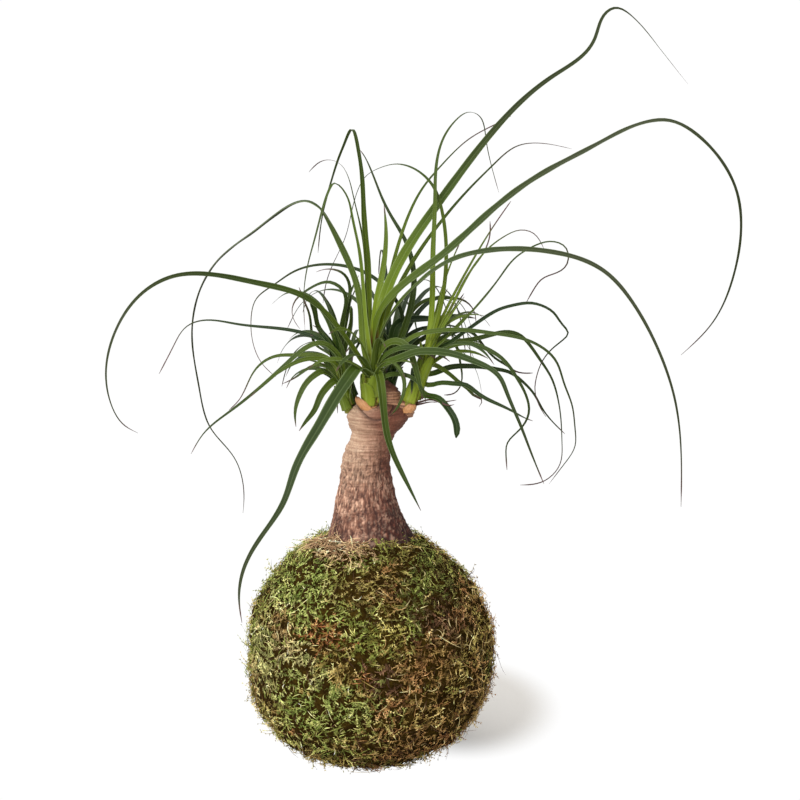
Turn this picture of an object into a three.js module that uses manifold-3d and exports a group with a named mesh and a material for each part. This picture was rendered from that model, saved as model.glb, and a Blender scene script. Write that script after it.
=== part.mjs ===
// A kokedama: a young ponytail palm growing in a ball of soil that is wrapped in moss.
// Millimetres, +Z up, X to the viewer's right, Y away from the viewer. The origin is the middle of the
// small flat spot that the ball rests on.
import * as THREE from 'three';
import { mergeVertices } from 'three/addons/utils/BufferGeometryUtils.js';
import Module from 'manifold-3d';

const wasm = await Module();
wasm.setup();

// Driving dimensions, in millimetres.
const CLEARANCE = 0.3;
const BALL = { radius: 64.2, centreHeight: 59.5, halfHeight: 62.2, relief: 2.3, columns: 42, rows: 21 };
const SAG = { amount: 4, level: -0.6, spread: 0.35 };
const MOSS_THICKNESS = 9;
const SOIL = { columns: 22, rows: 11 };
const SECTIONS = { trunkSides: 24, trunkRows: 32, knobSides: 12, stemSteps: 5 };

// Blades: thickness at the midrib of a broad and of a narrow one, least half width, share of the width at the
// root and the share of the length by which it has opened fully, fold of each half, how the tip tapers, and
// how much a blade slims towards its middle, in full from the length slimLength.
const BLADE = {
  broadFrom: 3.2, broadThickness: 0.8, narrowThickness: 1, leastHalfWidth: 0.35,
  rootWidth: 0.62, openBy: 0.22, broadFold: 0.34, narrowFold: 0.2, taperStart: 5, taperEnd: 0.9,
  slimming: 0.6, slimFrom: 0.1, slimBy: 0.75, slimLength: 140,
};

// The viewer looks slightly down from the front. Leaf lines are drawn on an upright plane through the trunk,
// in millimetres across and up from the foot of the ball, and are then moved along the line of sight to their
// own depth.
const VIEWER = { distance: 950, elevation: 9.5, across: 15, aim: 185.2, drop: 177 };

// Seeded draws, so that the object comes out the same each time.
function seededRandom(seed) {
  let state = seed >>> 0;
  return () => {
    state = (state + 0x6d2b79f5) >>> 0;
    let mixed = state;
    mixed = Math.imul(mixed ^ (mixed >>> 15), mixed | 1);
    mixed ^= mixed + Math.imul(mixed ^ (mixed >>> 7), mixed | 61);
    return ((mixed ^ (mixed >>> 14)) >>> 0) / 4294967296;
  };
}

function viewersEye() {
  const tilt = THREE.MathUtils.degToRad(VIEWER.elevation);
  return new THREE.Vector3(
    VIEWER.across,
    -VIEWER.distance * Math.cos(tilt),
    VIEWER.aim + VIEWER.distance * Math.sin(tilt),
  );
}

// A point of the drawing plane, moved along the line of sight to the given depth.
function seen(across, up, depth) {
  const tilt = THREE.MathUtils.degToRad(VIEWER.elevation);
  const eye = viewersEye();
  const rise = up - VIEWER.drop;
  const onPlane = new THREE.Vector3(across, rise * Math.sin(tilt), VIEWER.aim + rise * Math.cos(tilt));
  const sight = onPlane.sub(eye);
  return eye.addScaledVector(sight, (depth - eye.y) / sight.y);
}

// Turns rings of points into one closed solid. Every ring has the same number of points, in turn round the
// outside, and the two end rings are closed with flat fans.
function loft(rings) {
  const sides = rings[0].length;
  const positions = rings.flat().flatMap((point) => [point.x, point.y, point.z]);
  const index = [];
  for (let row = 0; row + 1 < rings.length; row += 1) {
    for (let side = 0; side < sides; side += 1) {
      const next = (side + 1) % sides;
      const here = row * sides;
      const above = here + sides;
      index.push(here + side, here + next, above + next);
      index.push(here + side, above + next, above + side);
    }
  }
  const last = (rings.length - 1) * sides;
  for (let side = 1; side + 1 < sides; side += 1) {
    index.push(0, side + 1, side);
    index.push(last, last + side, last + side + 1);
  }
  const geometry = new THREE.BufferGeometry();
  geometry.setAttribute('position', new THREE.Float32BufferAttribute(positions, 3));
  geometry.setIndex(index);
  return geometry;
}

// A closed geometry as a solid that can be joined and cut.
function solid(geometry) {
  const bare = geometry.clone();
  bare.deleteAttribute('normal');
  bare.deleteAttribute('uv');
  const merged = mergeVertices(bare, 1e-5);
  return new wasm.Manifold(
    new wasm.Mesh({
      numProp: 3,
      vertProperties: new Float32Array(merged.attributes.position.array),
      triVerts: new Uint32Array(merged.index.array),
    }),
  );
}

// A solid as a mesh with its name and finish.
function meshOf(name, body, material) {
  const data = body.getMesh();
  const geometry = new THREE.BufferGeometry();
  geometry.setAttribute('position', new THREE.Float32BufferAttribute(data.vertProperties, 3));
  geometry.setIndex(Array.from(data.triVerts));
  geometry.computeVertexNormals();
  const mesh = new THREE.Mesh(geometry, material);
  mesh.name = name;
  return mesh;
}

// The largest single body of a solid: loose scraps left by a cut are dropped.
function mainBody(body) {
  const pieces = body.decompose();
  return pieces.reduce((best, piece) => (piece.volume() > best.volume() ? piece : best));
}

function joined(bodies) {
  return bodies.reduce((whole, body) => whole.add(body));
}

// A natural cubic through the given points, run by chord length.
function splineThrough(points) {
  const knots = [0];
  for (let i = 1; i < points.length; i += 1) {
    knots.push(knots[i - 1] + points[i].distanceTo(points[i - 1]));
  }
  const bends = ['x', 'y', 'z'].map((axis) => naturalBends(knots, points.map((point) => point[axis])));
  const length = knots[knots.length - 1];
  return (share) => {
    const at = Math.min(Math.max(share, 0), 1) * length;
    let i = 0;
    while (i + 2 < knots.length && at > knots[i + 1]) {
      i += 1;
    }
    const step = knots[i + 1] - knots[i];
    const a = (knots[i + 1] - at) / step;
    const b = 1 - a;
    const place = ['x', 'y', 'z'].map((axis, k) => {
      const bend = ((a ** 3 - a) * bends[k][i] + (b ** 3 - b) * bends[k][i + 1]) * (step ** 2 / 6);
      return a * points[i][axis] + b * points[i + 1][axis] + bend;
    });
    return new THREE.Vector3(...place);
  };
}

// Second derivatives of a natural cubic at its knots.
function naturalBends(knots, values) {
  const count = values.length;
  const bends = new Array(count).fill(0);
  const carried = new Array(count).fill(0);
  for (let i = 1; i + 1 < count; i += 1) {
    const share = (knots[i] - knots[i - 1]) / (knots[i + 1] - knots[i - 1]);
    const pivot = share * bends[i - 1] + 2;
    const after = (values[i + 1] - values[i]) / (knots[i + 1] - knots[i]);
    const before = (values[i] - values[i - 1]) / (knots[i] - knots[i - 1]);
    bends[i] = (share - 1) / pivot;
    carried[i] = ((6 * (after - before)) / (knots[i + 1] - knots[i - 1]) - share * carried[i - 1]) / pivot;
  }
  bends[count - 1] = 0;
  for (let i = count - 2; i >= 0; i -= 1) {
    bends[i] = bends[i] * bends[i + 1] + carried[i];
  }
  return bends;
}

// Ball of moss and soil

// Lumps of the wrapped moss, from -1 to 1, by direction from the ball's centre.
function mossLumps(direction) {
  const { x, y, z } = direction;
  const broad = Math.sin(4.1 * x + 1.3) * Math.cos(3.7 * y - 0.6) + Math.sin(4.6 * z + 2.2 * x);
  const middle = Math.sin(9.3 * x - 2.1 * y + 0.4) * Math.sin(8.2 * z + 1.7) + Math.cos(8.8 * y + 3.1 * z);
  const fine = Math.sin(17 * x + 5 * z) * Math.cos(15 * y - 7 * z + 0.9);
  return 0.3 * broad + 0.25 * middle + 0.25 * fine;
}

// A slightly flattened ball, cut off level at the surface it stands on.
function ballSolid(inset, relief, columns, rows) {
  const rings = [];
  for (let row = 0; row <= rows; row += 1) {
    const polar = Math.PI * (1 - (row + 0.5) / (rows + 1));
    const ring = [];
    for (let column = 0; column < columns; column += 1) {
      const turn = (2 * Math.PI * (column + 0.5 * (row % 2))) / columns;
      const direction = new THREE.Vector3(
        Math.sin(polar) * Math.cos(turn),
        Math.sin(polar) * Math.sin(turn),
        Math.cos(polar),
      );
      const sag = relief > 0 ? SAG.amount * Math.exp(-(((direction.z - SAG.level) / SAG.spread) ** 2)) : 0;
      const swell = relief * mossLumps(direction) + sag - inset;
      const height = BALL.centreHeight + (BALL.halfHeight + swell) * direction.z;
      ring.push(new THREE.Vector3(
        (BALL.radius + swell) * direction.x,
        (BALL.radius + swell) * direction.y,
        Math.max(height, inset),
      ));
    }
    rings.push(ring);
  }
  return solid(loft(rings));
}

// Trunk

// Stations up the trunk: height, sideways place of the middle, half width across, half width front to back.
const TRUNK_STATIONS = [
  [78, 0, 5, 5],
  [84, 0, 15, 14.5],
  [91, 0, 22, 21.5],
  [99, 0.5, 25.2, 25],
  [107, 0.5, 25, 24.6],
  [114, 0.2, 22.6, 22.2],
  [120, -0.2, 20.2, 19.8],
  [124, -0.8, 18.6, 18.3],
  [129, -1.6, 16.9, 16.6],
  [136, -2.3, 15.1, 15],
  [143, -2.4, 13.5, 13.6],
  [150, -2.3, 12.5, 12.8],
  [157, -1.6, 12, 12.3],
  [162, -0.6, 11.5, 11.8],
  [165.5, 0.6, 11, 11.4],
  [168.5, 1.8, 11.5, 11.8],
  [171.5, 2.8, 13.3, 13],
  [174.5, 3.5, 15, 14],
  [177.5, 3.8, 15.6, 14.3],
  [180.5, 3.5, 14.2, 13.2],
  [182.8, 3, 10.5, 10],
  [184, 2.5, 4, 4],
];
const RING_SCARS = { from: 140, spacing: 5.2, depth: 0.45 };
const BARK_RIBS = { count: 9, depth: 0.55 };
const ROOTS = { count: 6, length: 26, radius: 3.4, tip: 1, from: 92, drop: 0.75, sides: 7 };
const STUMP_KNOBS = [
  {
    line: [[10.6, 3.5, 176], [10.3, 3.5, 184], [9.9, 3.5, 188.6], [10.5, 3.5, 191.2], [11.3, 3.5, 192.4]],
    radii: [7, 6.1, 5.7, 5.4, 3.6],
  },
  {
    line: [[17.8, 0, 176.5], [17.8, 0, 178.5], [17.8, 0, 181], [17.8, 0, 184.4], [17.8, 0, 185.5]],
    radii: [3.2, 4.4, 4.4, 3.2, 1.2],
  },
];

// Ring scars round the upper part and long bark ribs lower down, in millimetres of relief.
function barkRelief(height, turn) {
  const upper = THREE.MathUtils.smoothstep(height, RING_SCARS.from - 8, RING_SCARS.from + 8);
  const scars = Math.cos((2 * Math.PI * height) / RING_SCARS.spacing + 0.6 * Math.sin(turn + 1));
  const ribs = Math.cos(BARK_RIBS.count * turn + 1.2 * Math.sin(height / 9));
  return upper * RING_SCARS.depth * scars + (1 - 0.7 * upper) * BARK_RIBS.depth * ribs;
}

function trunkColumn(gap) {
  const heights = splineThrough(TRUNK_STATIONS.map((s) => new THREE.Vector3(s[0], s[1], s[2])));
  const depths = splineThrough(TRUNK_STATIONS.map((s) => new THREE.Vector3(s[0], s[1], s[3])));
  const rows = SECTIONS.trunkRows;
  const sides = SECTIONS.trunkSides;
  const rings = [];
  for (let row = 0; row <= rows; row += 1) {
    const station = heights(row / rows);
    const halfDepth = depths(row / rows).z;
    const ring = [];
    for (let side = 0; side < sides; side += 1) {
      const turn = (2 * Math.PI * side) / sides;
      const relief = gap > 0 ? gap + BARK_RIBS.depth : barkRelief(station.x, turn);
      ring.push(new THREE.Vector3(
        station.y + Math.max(station.z + relief, 0.5) * Math.cos(turn),
        Math.max(halfDepth + relief, 0.5) * Math.sin(turn),
        station.x,
      ));
    }
    rings.push(ring);
  }
  return solid(loft(rings));
}

// A round, tapering rod along a line of points, with one radius for each point.
function rod(points, radii, sides) {
  const rings = points.map((point, i) => {
    const next = points[Math.min(i + 1, points.length - 1)];
    const along = next.clone().sub(points[Math.max(i - 1, 0)]).normalize();
    const across = new THREE.Vector3(0, 1, 0).addScaledVector(along, -along.y).normalize();
    const over = along.clone().cross(across);
    return Array.from({ length: sides }, (_, side) => {
      const turn = (2 * Math.PI * side) / sides;
      return point.clone()
        .addScaledVector(across, radii[i] * Math.cos(turn))
        .addScaledVector(over, radii[i] * Math.sin(turn));
    });
  });
  return solid(loft(rings));
}

function rootRods(gap) {
  return Array.from({ length: ROOTS.count }, (_, i) => {
    const turn = (2 * Math.PI * (i + 0.35)) / ROOTS.count;
    const reach = ROOTS.length * (i % 2 ? 1 : 0.8);
    const points = [10, 10 + reach / 2, 10 + reach].map((out, k) => new THREE.Vector3(
      out * Math.cos(turn),
      out * Math.sin(turn),
      ROOTS.from - ROOTS.drop * reach * [0, 0.5, 1][k],
    ));
    const radii = [ROOTS.radius, (ROOTS.radius + ROOTS.tip) / 2, ROOTS.tip].map((radius) => radius + gap);
    if (gap > 0) {
      const end = points[2].clone().sub(points[1]).normalize();
      points[2].addScaledVector(end, 2 * gap);
    }
    return rod(points, radii, ROOTS.sides);
  });
}

function stumpKnobs() {
  return STUMP_KNOBS.map(({ line, radii }) => {
    const points = line.map((place) => new THREE.Vector3(...place));
    return rod(points, radii, SECTIONS.knobSides);
  });
}

// Leaves

// Each shoot's stem: its line from the stump up, as across, up and depth, and its radius at foot, middle and
// head.
const SHOOTS = {
  shoot_front: {
    stem: [[0.5, 173, -6], [1, 184, -6.5], [1.5, 197, -6]], radii: [3.2, 4.2, 2.4], sides: 10,
  },
  shoot_right: {
    stem: [[19.5, 173, -1], [22, 181, -1], [27, 194, -1], [30.5, 207, 0]], radii: [3.4, 2.5, 1.7], sides: 9,
  },
  shoot_left: {
    stem: [[-10, 171, -1], [-12.5, 179, -1], [-15, 189, -1]], radii: [2.5, 2, 1.4], sides: 8,
  },
  shoot_back: {
    stem: [[8, 175, 9], [10, 188, 10], [13, 203, 10]], radii: [2.6, 2.1, 1.6], sides: 9,
  },
  shoot_back_left: {
    stem: [[-7, 173, 8], [-12, 187, 9], [-16, 201, 9]], radii: [2.6, 2.1, 1.6], sides: 9,
  },
};

// Leaves that the front view shows. line: across and up, and a depth where one is needed. root: how far up
// the stem the leaf leaves it. lean: depth gained for each millimetre sideways. away: extra depth at the tip.
// roll: how far the blade is turned about its own line, in degrees.
const LEAVES = [
  { shoot: 'shoot_front', root: 0.5, width: 5.4, lean: 0.5, away: 0, roll: 48,
    line: [[7.5, 229.5], [34.5, 276], [62, 312], [91.5, 339], [112.5, 358], [117, 369.5], [122, 373],
      [131.5, 368.5], [144, 354], [159, 335]] },
  { shoot: 'shoot_front', root: 0.55, width: 5.8, lean: -0.28, away: 0, roll: 42,
    line: [[5, 221.5], [34.5, 248.5], [58, 269.5], [83, 288.5], [112.5, 304.5], [140, 316.5], [148.5, 317],
      [165, 308.5], [175.5, 297], [183, 282.5], [185.5, 261.5], [182, 240], [171.5, 216], [155.5, 199.5]] },
  { shoot: 'shoot_front', root: 0.7, width: 4.4, lean: -0.72, away: 0, roll: 40,
    line: [[5, 210], [20, 232], [39, 246.5], [60, 252], [91.5, 251], [119, 240], [131.5, 225.5], [144, 202.5],
      [152.5, 177], [155.5, 152], [155.5, 123.5]] },
  { shoot: 'shoot_front', root: 0.6, width: 4.8, lean: 0.8, away: 0, roll: -105,
    line: [[-3, 202.5], [-5.5, 229.5], [-16, 257], [-28.5, 275], [-56, 262.5], [-77, 245.5], [-85, 232],
      [-89, 208.5], [-85.5, 183.5], [-80, 163.5], [-67.5, 147.5], [-63, 128.5], [-63.5, 120.5]] },
  { shoot: 'shoot_front', root: 0.65, width: 4.2, lean: -0.5, away: 0, roll: -50,
    line: [[-14, 211], [-30.5, 227.5], [-56, 235.5], [-81, 240], [-98, 239], [-115, 229.5], [-127.5, 211],
      [-132, 192], [-129.5, 175], [-123, 164.5], [-116, 160.5]] },
  { shoot: 'shoot_front', root: 0.75, width: 7, lean: -0.5, away: -46, roll: -15,
    line: [[-2, 192.5, -11], [-5.5, 194, -14], [-9.5, 190, -18], [-14, 183.5, -22], [-26.5, 162.5],
      [-37, 143.5], [-43, 126.5], [-53.5, 110], [-63, 93], [-65.5, 78], [-64, 65.5]] },
  { shoot: 'shoot_front', root: 0.7, width: 4.8, lean: 0, away: 0, roll: 8,
    line: [[4, 191, -14], [6, 181.5, -20], [7, 171, -22], [9.5, 156, -22.5], [15.5, 141.5, -25],
      [22, 128.5, -30], [25.5, 121.5, -33]] },
  { shoot: 'shoot_front', root: 0.8, width: 4.6, lean: -0.6, away: -6, roll: 50,
    line: [[8.5, 196, -12], [15.7, 198.5, -17], [21.8, 200.8, -20], [31.8, 201.5], [42, 200], [52, 196.5],
      [60, 192.8], [65.3, 187.8], [68, 181.8], [71.3, 173.7], [75.3, 164.3], [80.7, 150.3], [87, 135]] },
  { shoot: 'shoot_front', root: 0.85, width: 2.8, lean: -0.12, away: 0, roll: 50,
    line: [[15.7, 204.5], [22, 209], [30, 211.2], [40, 212.2], [63, 210.2], [78.5, 207], [86.5, 203],
      [93, 196.5], [97, 185.5], [101, 174.5], [102.5, 163], [102.5, 154], [97.5, 145.5], [89.5, 135]] },
  { shoot: 'shoot_front', root: 0.8, width: 4.4, lean: -0.32, away: 0, roll: 58,
    line: [[6, 203], [10, 206], [13.5, 206.5], [17.5, 204.5], [21, 198.5], [23.3, 191], [25, 184],
      [26.5, 177]] },
  { shoot: 'shoot_front', root: 0.35, width: 2.8, lean: -0.3, away: 0, roll: 50,
    line: [[5, 187.5, -12], [9, 189.5, -13], [15, 190], [20.5, 188.5], [25, 184.5], [27, 180], [28, 175.5]] },
  { shoot: 'shoot_front', root: 0.5, width: 2.6, lean: -0.3, away: -9, roll: 50,
    line: [[11, 196], [14.5, 193], [16.8, 188], [17.2, 183], [16, 178], [13.5, 173], [9.5, 168.5]] },
  { shoot: 'shoot_front', root: 0.8, width: 2.2, lean: 1.3, away: 0, roll: 40,
    line: [[7.5, 227], [15.5, 259], [26, 282.5], [34.5, 293], [49.5, 307.5], [64, 315.5], [70.5, 319]] },
  { shoot: 'shoot_front', root: 0.85, width: 2.4, lean: 0.95, away: 0, roll: 45,
    line: [[7.5, 217], [36.5, 267.5], [49.5, 282.5], [62, 295], [72.5, 303.5], [83, 305.5], [101, 302.5]] },
  { shoot: 'shoot_front', root: 0.85, width: 4.4, lean: 0, away: 48, roll: 5,
    line: [[-0.5, 210], [-1, 241], [-3, 269.5], [-4, 289], [-6, 303], [-9, 312.5], [-12.5, 306],
      [-15.5, 298.5], [-19.5, 286], [-24, 268], [-26, 250.5]] },
  { shoot: 'shoot_front', root: 0.9, width: 4.4, lean: 0, away: 14, roll: 20,
    line: [[2.5, 216.5], [4, 229], [6, 239.5], [8, 262], [7, 274.5]] },
  { shoot: 'shoot_front', root: 0.9, width: 3.6, lean: 0, away: -22, roll: -5,
    line: [[-2, 217], [-4, 241], [-6, 255.5], [-9, 269.5], [-12.5, 281], [-18, 285.5], [-20.5, 282],
      [-23.5, 273.5], [-27, 260], [-31, 245], [-33, 231.5], [-32.5, 212]] },
  { shoot: 'shoot_front', root: 0.95, width: 2.4, lean: 0.5, away: 10, roll: 10,
    line: [[-2, 242], [-4, 260], [-8, 277.5], [-15.5, 295.5], [-24, 296.5], [-30.5, 291]] },
  { shoot: 'shoot_back', root: 0.6, width: 2.2, lean: 0.75, away: 0, roll: -80,
    line: [[15, 223], [8.5, 232.5], [-1, 240], [-12.5, 244], [-27, 244.5], [-38.5, 241], [-49, 234],
      [-57.5, 226.5], [-59.5, 217], [-58.5, 205.5], [-54.5, 196], [-47, 188.5]] },
  { shoot: 'shoot_back', root: 0.7, width: 2.4, lean: 0.55, away: 0, roll: 78,
    line: [[22.5, 223], [27, 226.5], [34, 228], [40, 228], [45, 227.5], [50, 224.5], [52.5, 220],
      [53, 215]] },
  { shoot: 'shoot_back', root: 0.8, width: 5, lean: 0.9, away: 0, roll: 52,
    line: [[14, 215], [20.5, 217.5], [35, 218], [42.5, 219], [53, 217.8]] },
  { shoot: 'shoot_back', root: 0.9, width: 3.4, lean: 0, away: 58, roll: 0,
    line: [[22, 238], [18, 256], [11.5, 267.5], [6.5, 277], [2.5, 287], [-2, 297.5], [-5, 302]] },
  { shoot: 'shoot_right', root: 0.35, width: 3.3, lean: -0.7, away: 0, roll: 45, blunt: true,
    line: [[27.8, 179.5], [33, 178.5], [38.5, 173.5], [42.5, 167], [43.5, 161.5], [43, 158]] },
  { shoot: 'shoot_right', root: 0.9, width: 2.4, lean: 0.35, away: 0, roll: 75,
    line: [[37, 205.5], [45, 206.5], [52, 207.5], [62, 210], [69.5, 211], [75.5, 209], [79.5, 205],
      [85.5, 196.5], [90.5, 188.5], [94, 177.5], [95.5, 167], [96, 155.5], [95, 145], [87, 136.5],
      [75, 134.5]] },
  { shoot: 'shoot_right', root: 0.6, width: 3, lean: 0.5, away: 38, roll: 15,
    line: [[30.5, 217], [31.5, 251], [32.5, 276], [33, 293], [36.5, 307.5], [43, 317], [49.5, 321],
      [55.5, 318], [58, 307.5], [61, 293], [64.5, 280.5]] },
  { shoot: 'shoot_right', root: 0.8, width: 2.2, lean: 0, away: 84, roll: -15,
    line: [[36, 227], [38, 255.5], [36, 271.5], [31.5, 284], [25.5, 290.5], [19, 294], [12, 295],
      [4.5, 293], [-2, 289], [-9, 272], [-12.5, 258], [-18.5, 245], [-22, 235], [-23.5, 225.5]] },
  { shoot: 'shoot_right', root: 0.85, width: 2.3, lean: -0.1, away: 0, roll: 50,
    line: [[38.5, 205], [45, 209.5], [52, 214.5], [58.5, 219], [65, 222.5], [72, 224.5], [80.5, 225.5],
      [86.5, 224], [92, 220.5], [96, 215], [99, 210], [97, 207.5], [91.5, 203], [86.5, 197], [83.5, 189.5],
      [82.5, 181.5], [84.5, 174.5], [88, 168.5]] },
  { shoot: 'shoot_right', root: 0.75, width: 2.6, lean: -0.4, away: 0, roll: 50,
    line: [[37, 202.5], [44, 205], [52, 205], [58.5, 202.5], [64.5, 199], [69.5, 194], [73.5, 188],
      [78.5, 178], [79.5, 171.5], [76, 163.5], [72, 159.5], [68.5, 155], [68, 149.5], [68.5, 142]] },
  { shoot: 'shoot_right', root: 0.4, width: 2.8, lean: -0.22, away: 0, roll: 50,
    line: [[30, 184.5], [34.5, 185.5], [42.5, 185.2], [48, 184.5], [53, 181], [58.5, 177.5], [65, 174.5],
      [72, 171], [77.5, 168], [81.5, 166.5]] },
  { shoot: 'shoot_right', root: 0.65, width: 2.4, lean: 0.35, away: 0, roll: 72,
    line: [[32.5, 194.5], [37, 192], [41, 189], [45, 185.5], [49, 182.5], [52.5, 179], [56, 177],
      [54.5, 173.5]] },
  { shoot: 'shoot_right', root: 0.5, width: 2.8, lean: 0.65, away: 0, roll: 80,
    line: [[32, 190.5], [38.5, 193], [48, 194], [57, 193.5], [63, 192.5], [69.5, 191], [76, 186.5], [82, 180],
      [86, 173], [90.5, 167], [97.5, 160]] },
  { shoot: 'shoot_right', root: 0.9, width: 2.2, lean: 1, away: 0, roll: 84,
    line: [[36, 206], [41, 206], [44, 202], [45, 196.5], [46, 190], [45, 183.5], [43, 181], [37, 179.5]] },
  { shoot: 'shoot_right', root: 0.95, width: 2.2, lean: 0.8, away: 0, roll: 80,
    line: [[40, 210], [47, 212], [52, 210], [55, 206.5], [58.5, 202], [62.5, 198], [68, 194.5], [72.5, 191.5],
      [81.5, 190.5]] },
  { shoot: 'shoot_right', root: 0.8, width: 2, lean: -0.55, away: 0, roll: 52,
    line: [[34, 204.5], [40, 210], [52, 222.5], [65, 238.5], [72, 247.5], [80, 253], [93, 256], [98, 253],
      [98.5, 245], [93, 240.5], [86, 237.5], [82, 232.5], [78, 225.5]] },
  { shoot: 'shoot_right', root: 0.9, width: 1.6, lean: 0.1, away: 0, roll: 50,
    line: [[42.5, 227], [54, 247], [60.5, 254], [67.5, 259], [75.5, 262], [81.5, 260.5], [87, 252.5]] },
  { shoot: 'shoot_right', root: 0.95, width: 1.6, lean: 0.45, away: 0, roll: 50,
    line: [[35, 216], [50, 244.5], [60.5, 262], [70.5, 276.5]] },
  { shoot: 'shoot_right', root: 0.9, width: 1.5, lean: 1.1, away: 0, roll: 50,
    line: [[40, 222], [49.5, 240.5], [57.5, 252], [60, 260], [60, 266.5]] },
  { shoot: 'shoot_left', root: 0.6, width: 3.2, lean: -0.15, away: 0, roll: -52,
    line: [[-16.5, 200.5], [-19, 203], [-23.5, 205.5], [-29.5, 204.5], [-37, 199.5], [-42.5, 194.5],
      [-56, 182.5], [-70.5, 171], [-83, 160.5], [-89.5, 150]] },
  { shoot: 'shoot_left', root: 0.75, width: 2.8, lean: -0.5, away: 0, roll: -52,
    line: [[-18, 196], [-22.5, 197.5], [-35.5, 196.5], [-42.5, 193], [-51, 187], [-60, 178.5]] },
  { shoot: 'shoot_left', root: 0.85, width: 2.2, lean: 0.5, away: 0, roll: -76,
    line: [[-20, 197], [-36.5, 199.5], [-47, 199], [-57.5, 192], [-65.5, 177], [-70.5, 172]] },
  { shoot: 'shoot_left', root: 0.6, width: 3.6, lean: -0.5, away: 0, roll: -50,
    line: [[-20, 190.5], [-24, 191.5], [-27, 190], [-31.5, 186], [-35, 180], [-37, 174], [-37.5, 170],
      [-37, 163.5]] },
  { shoot: 'shoot_left', root: 0.4, width: 4, lean: -0.9, away: 0, roll: -50,
    line: [[-17, 187], [-21.5, 183.5], [-25, 178.5], [-27.5, 172.5], [-31.5, 167], [-35.5, 161.5]] },
  { shoot: 'shoot_left', root: 0.7, width: 2.4, lean: 0.2, away: 0, roll: -50,
    line: [[-20, 193], [-24, 194.5], [-28.5, 194], [-33, 191.5], [-37, 188.5], [-44, 185]] },
  { shoot: 'shoot_back_left', root: 0.7, width: 2, lean: 0.3, away: 0, roll: -68,
    line: [[-22, 205], [-35, 211], [-47.5, 213], [-66.5, 215], [-85.5, 216.5], [-92, 213.5], [-98, 204.5],
      [-105.5, 190]] },
  { shoot: 'shoot_back_left', root: 0.9, width: 2.4, lean: 0.25, away: 0, roll: -50,
    line: [[-13.5, 218], [-13, 231], [-20.5, 236], [-27, 234.5], [-33.5, 230.5], [-37.5, 226.5],
      [-39, 221], [-37.5, 216], [-35, 212.5]] },
  { shoot: 'shoot_back_left', root: 0.95, width: 2.2, lean: 0.9, away: 0, roll: -50,
    line: [[-11, 222], [-11, 237], [-14.5, 241], [-20.5, 242.5], [-27, 241]] },
  { shoot: 'shoot_back_left', root: 0.8, width: 3.8, lean: 0, away: -4, roll: 0, blunt: true,
    line: [[-11, 209], [-9.5, 216], [-9.5, 224]] },
  { shoot: 'shoot_back_left', root: 0.6, width: 4.4, lean: 0.6, away: 0, roll: -10, blunt: true,
    line: [[-18, 197], [-20, 205.5], [-23, 209.5], [-26, 214], [-27.5, 221], [-30, 229]] },
  { shoot: 'shoot_back_left', root: 0.7, width: 2.2, lean: 1, away: 0, roll: -10,
    line: [[-20, 200], [-28, 206], [-29.5, 214], [-30.5, 220.5], [-32.5, 225.5], [-35.5, 233.5]] },
  { shoot: 'shoot_back_left', root: 0.8, width: 2.8, lean: 0, away: 8, roll: 0,
    line: [[-14.5, 206], [-13, 216.5], [-11.5, 225.5], [-9.5, 231.5], [-5.5, 239.5]] },
];

// Leaves that face away from the front view or fill the heart of a shoot, grown by rule. from and to are the
// compass turns they spread over, in degrees (90 is straight away from the viewer), and aside is the furthest
// that they may reach sideways.
const SPRAYS = [
  { shoot: 'shoot_back', count: 12, from: 28, to: 122, length: [85, 170], rise: [32, 76],
    fall: 122, aside: 44, width: [2.2, 3.8], seed: 11 },
  { shoot: 'shoot_back_left', count: 10, from: 84, to: 172, length: [75, 130], rise: [34, 74],
    fall: 114, aside: 30, width: [2.2, 3.8], seed: 23 },
  { shoot: 'shoot_right', count: 6, from: -50, to: 60, length: [45, 80], rise: [48, 78],
    fall: 96, aside: 30, width: [2, 3.2], seed: 37 },
  { shoot: 'shoot_left', count: 5, from: 150, to: 235, length: [30, 52], rise: [58, 84],
    fall: 50, aside: 15, width: [1.8, 3], seed: 41 },
  { shoot: 'shoot_front', count: 7, from: -170, to: -10, length: [34, 62], rise: [52, 76],
    fall: 96, aside: 26, width: [2.2, 3.8], seed: 53 },
  { shoot: 'shoot_back', count: 11, from: -150, to: -20, length: [30, 62], rise: [46, 76],
    fall: 108, aside: 28, width: [2.6, 3.8], seed: 61 },
  { shoot: 'shoot_back_left', count: 8, from: 170, to: 262, length: [34, 62], rise: [60, 84],
    fall: 45, aside: 16, width: [1.8, 3], seed: 67 },
  { shoot: 'shoot_right', count: 7, from: -20, to: 50, length: [44, 80], rise: [58, 82],
    fall: 18, aside: 30, width: [1.2, 1.7], seed: 71 },
  { shoot: 'shoot_right', count: 4, from: 160, to: 280, length: [26, 50], rise: [50, 76],
    fall: 112, aside: 22, width: [2.4, 3.4], seed: 83 },
];
const SPRAY_GROWTH = {
  steps: 7, curl: 30, roll: 46, leastRoll: 0.5, lowestRoot: 0.22, rootSpan: 0.7, bow: 1.25, overhead: 0.72,
};

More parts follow.
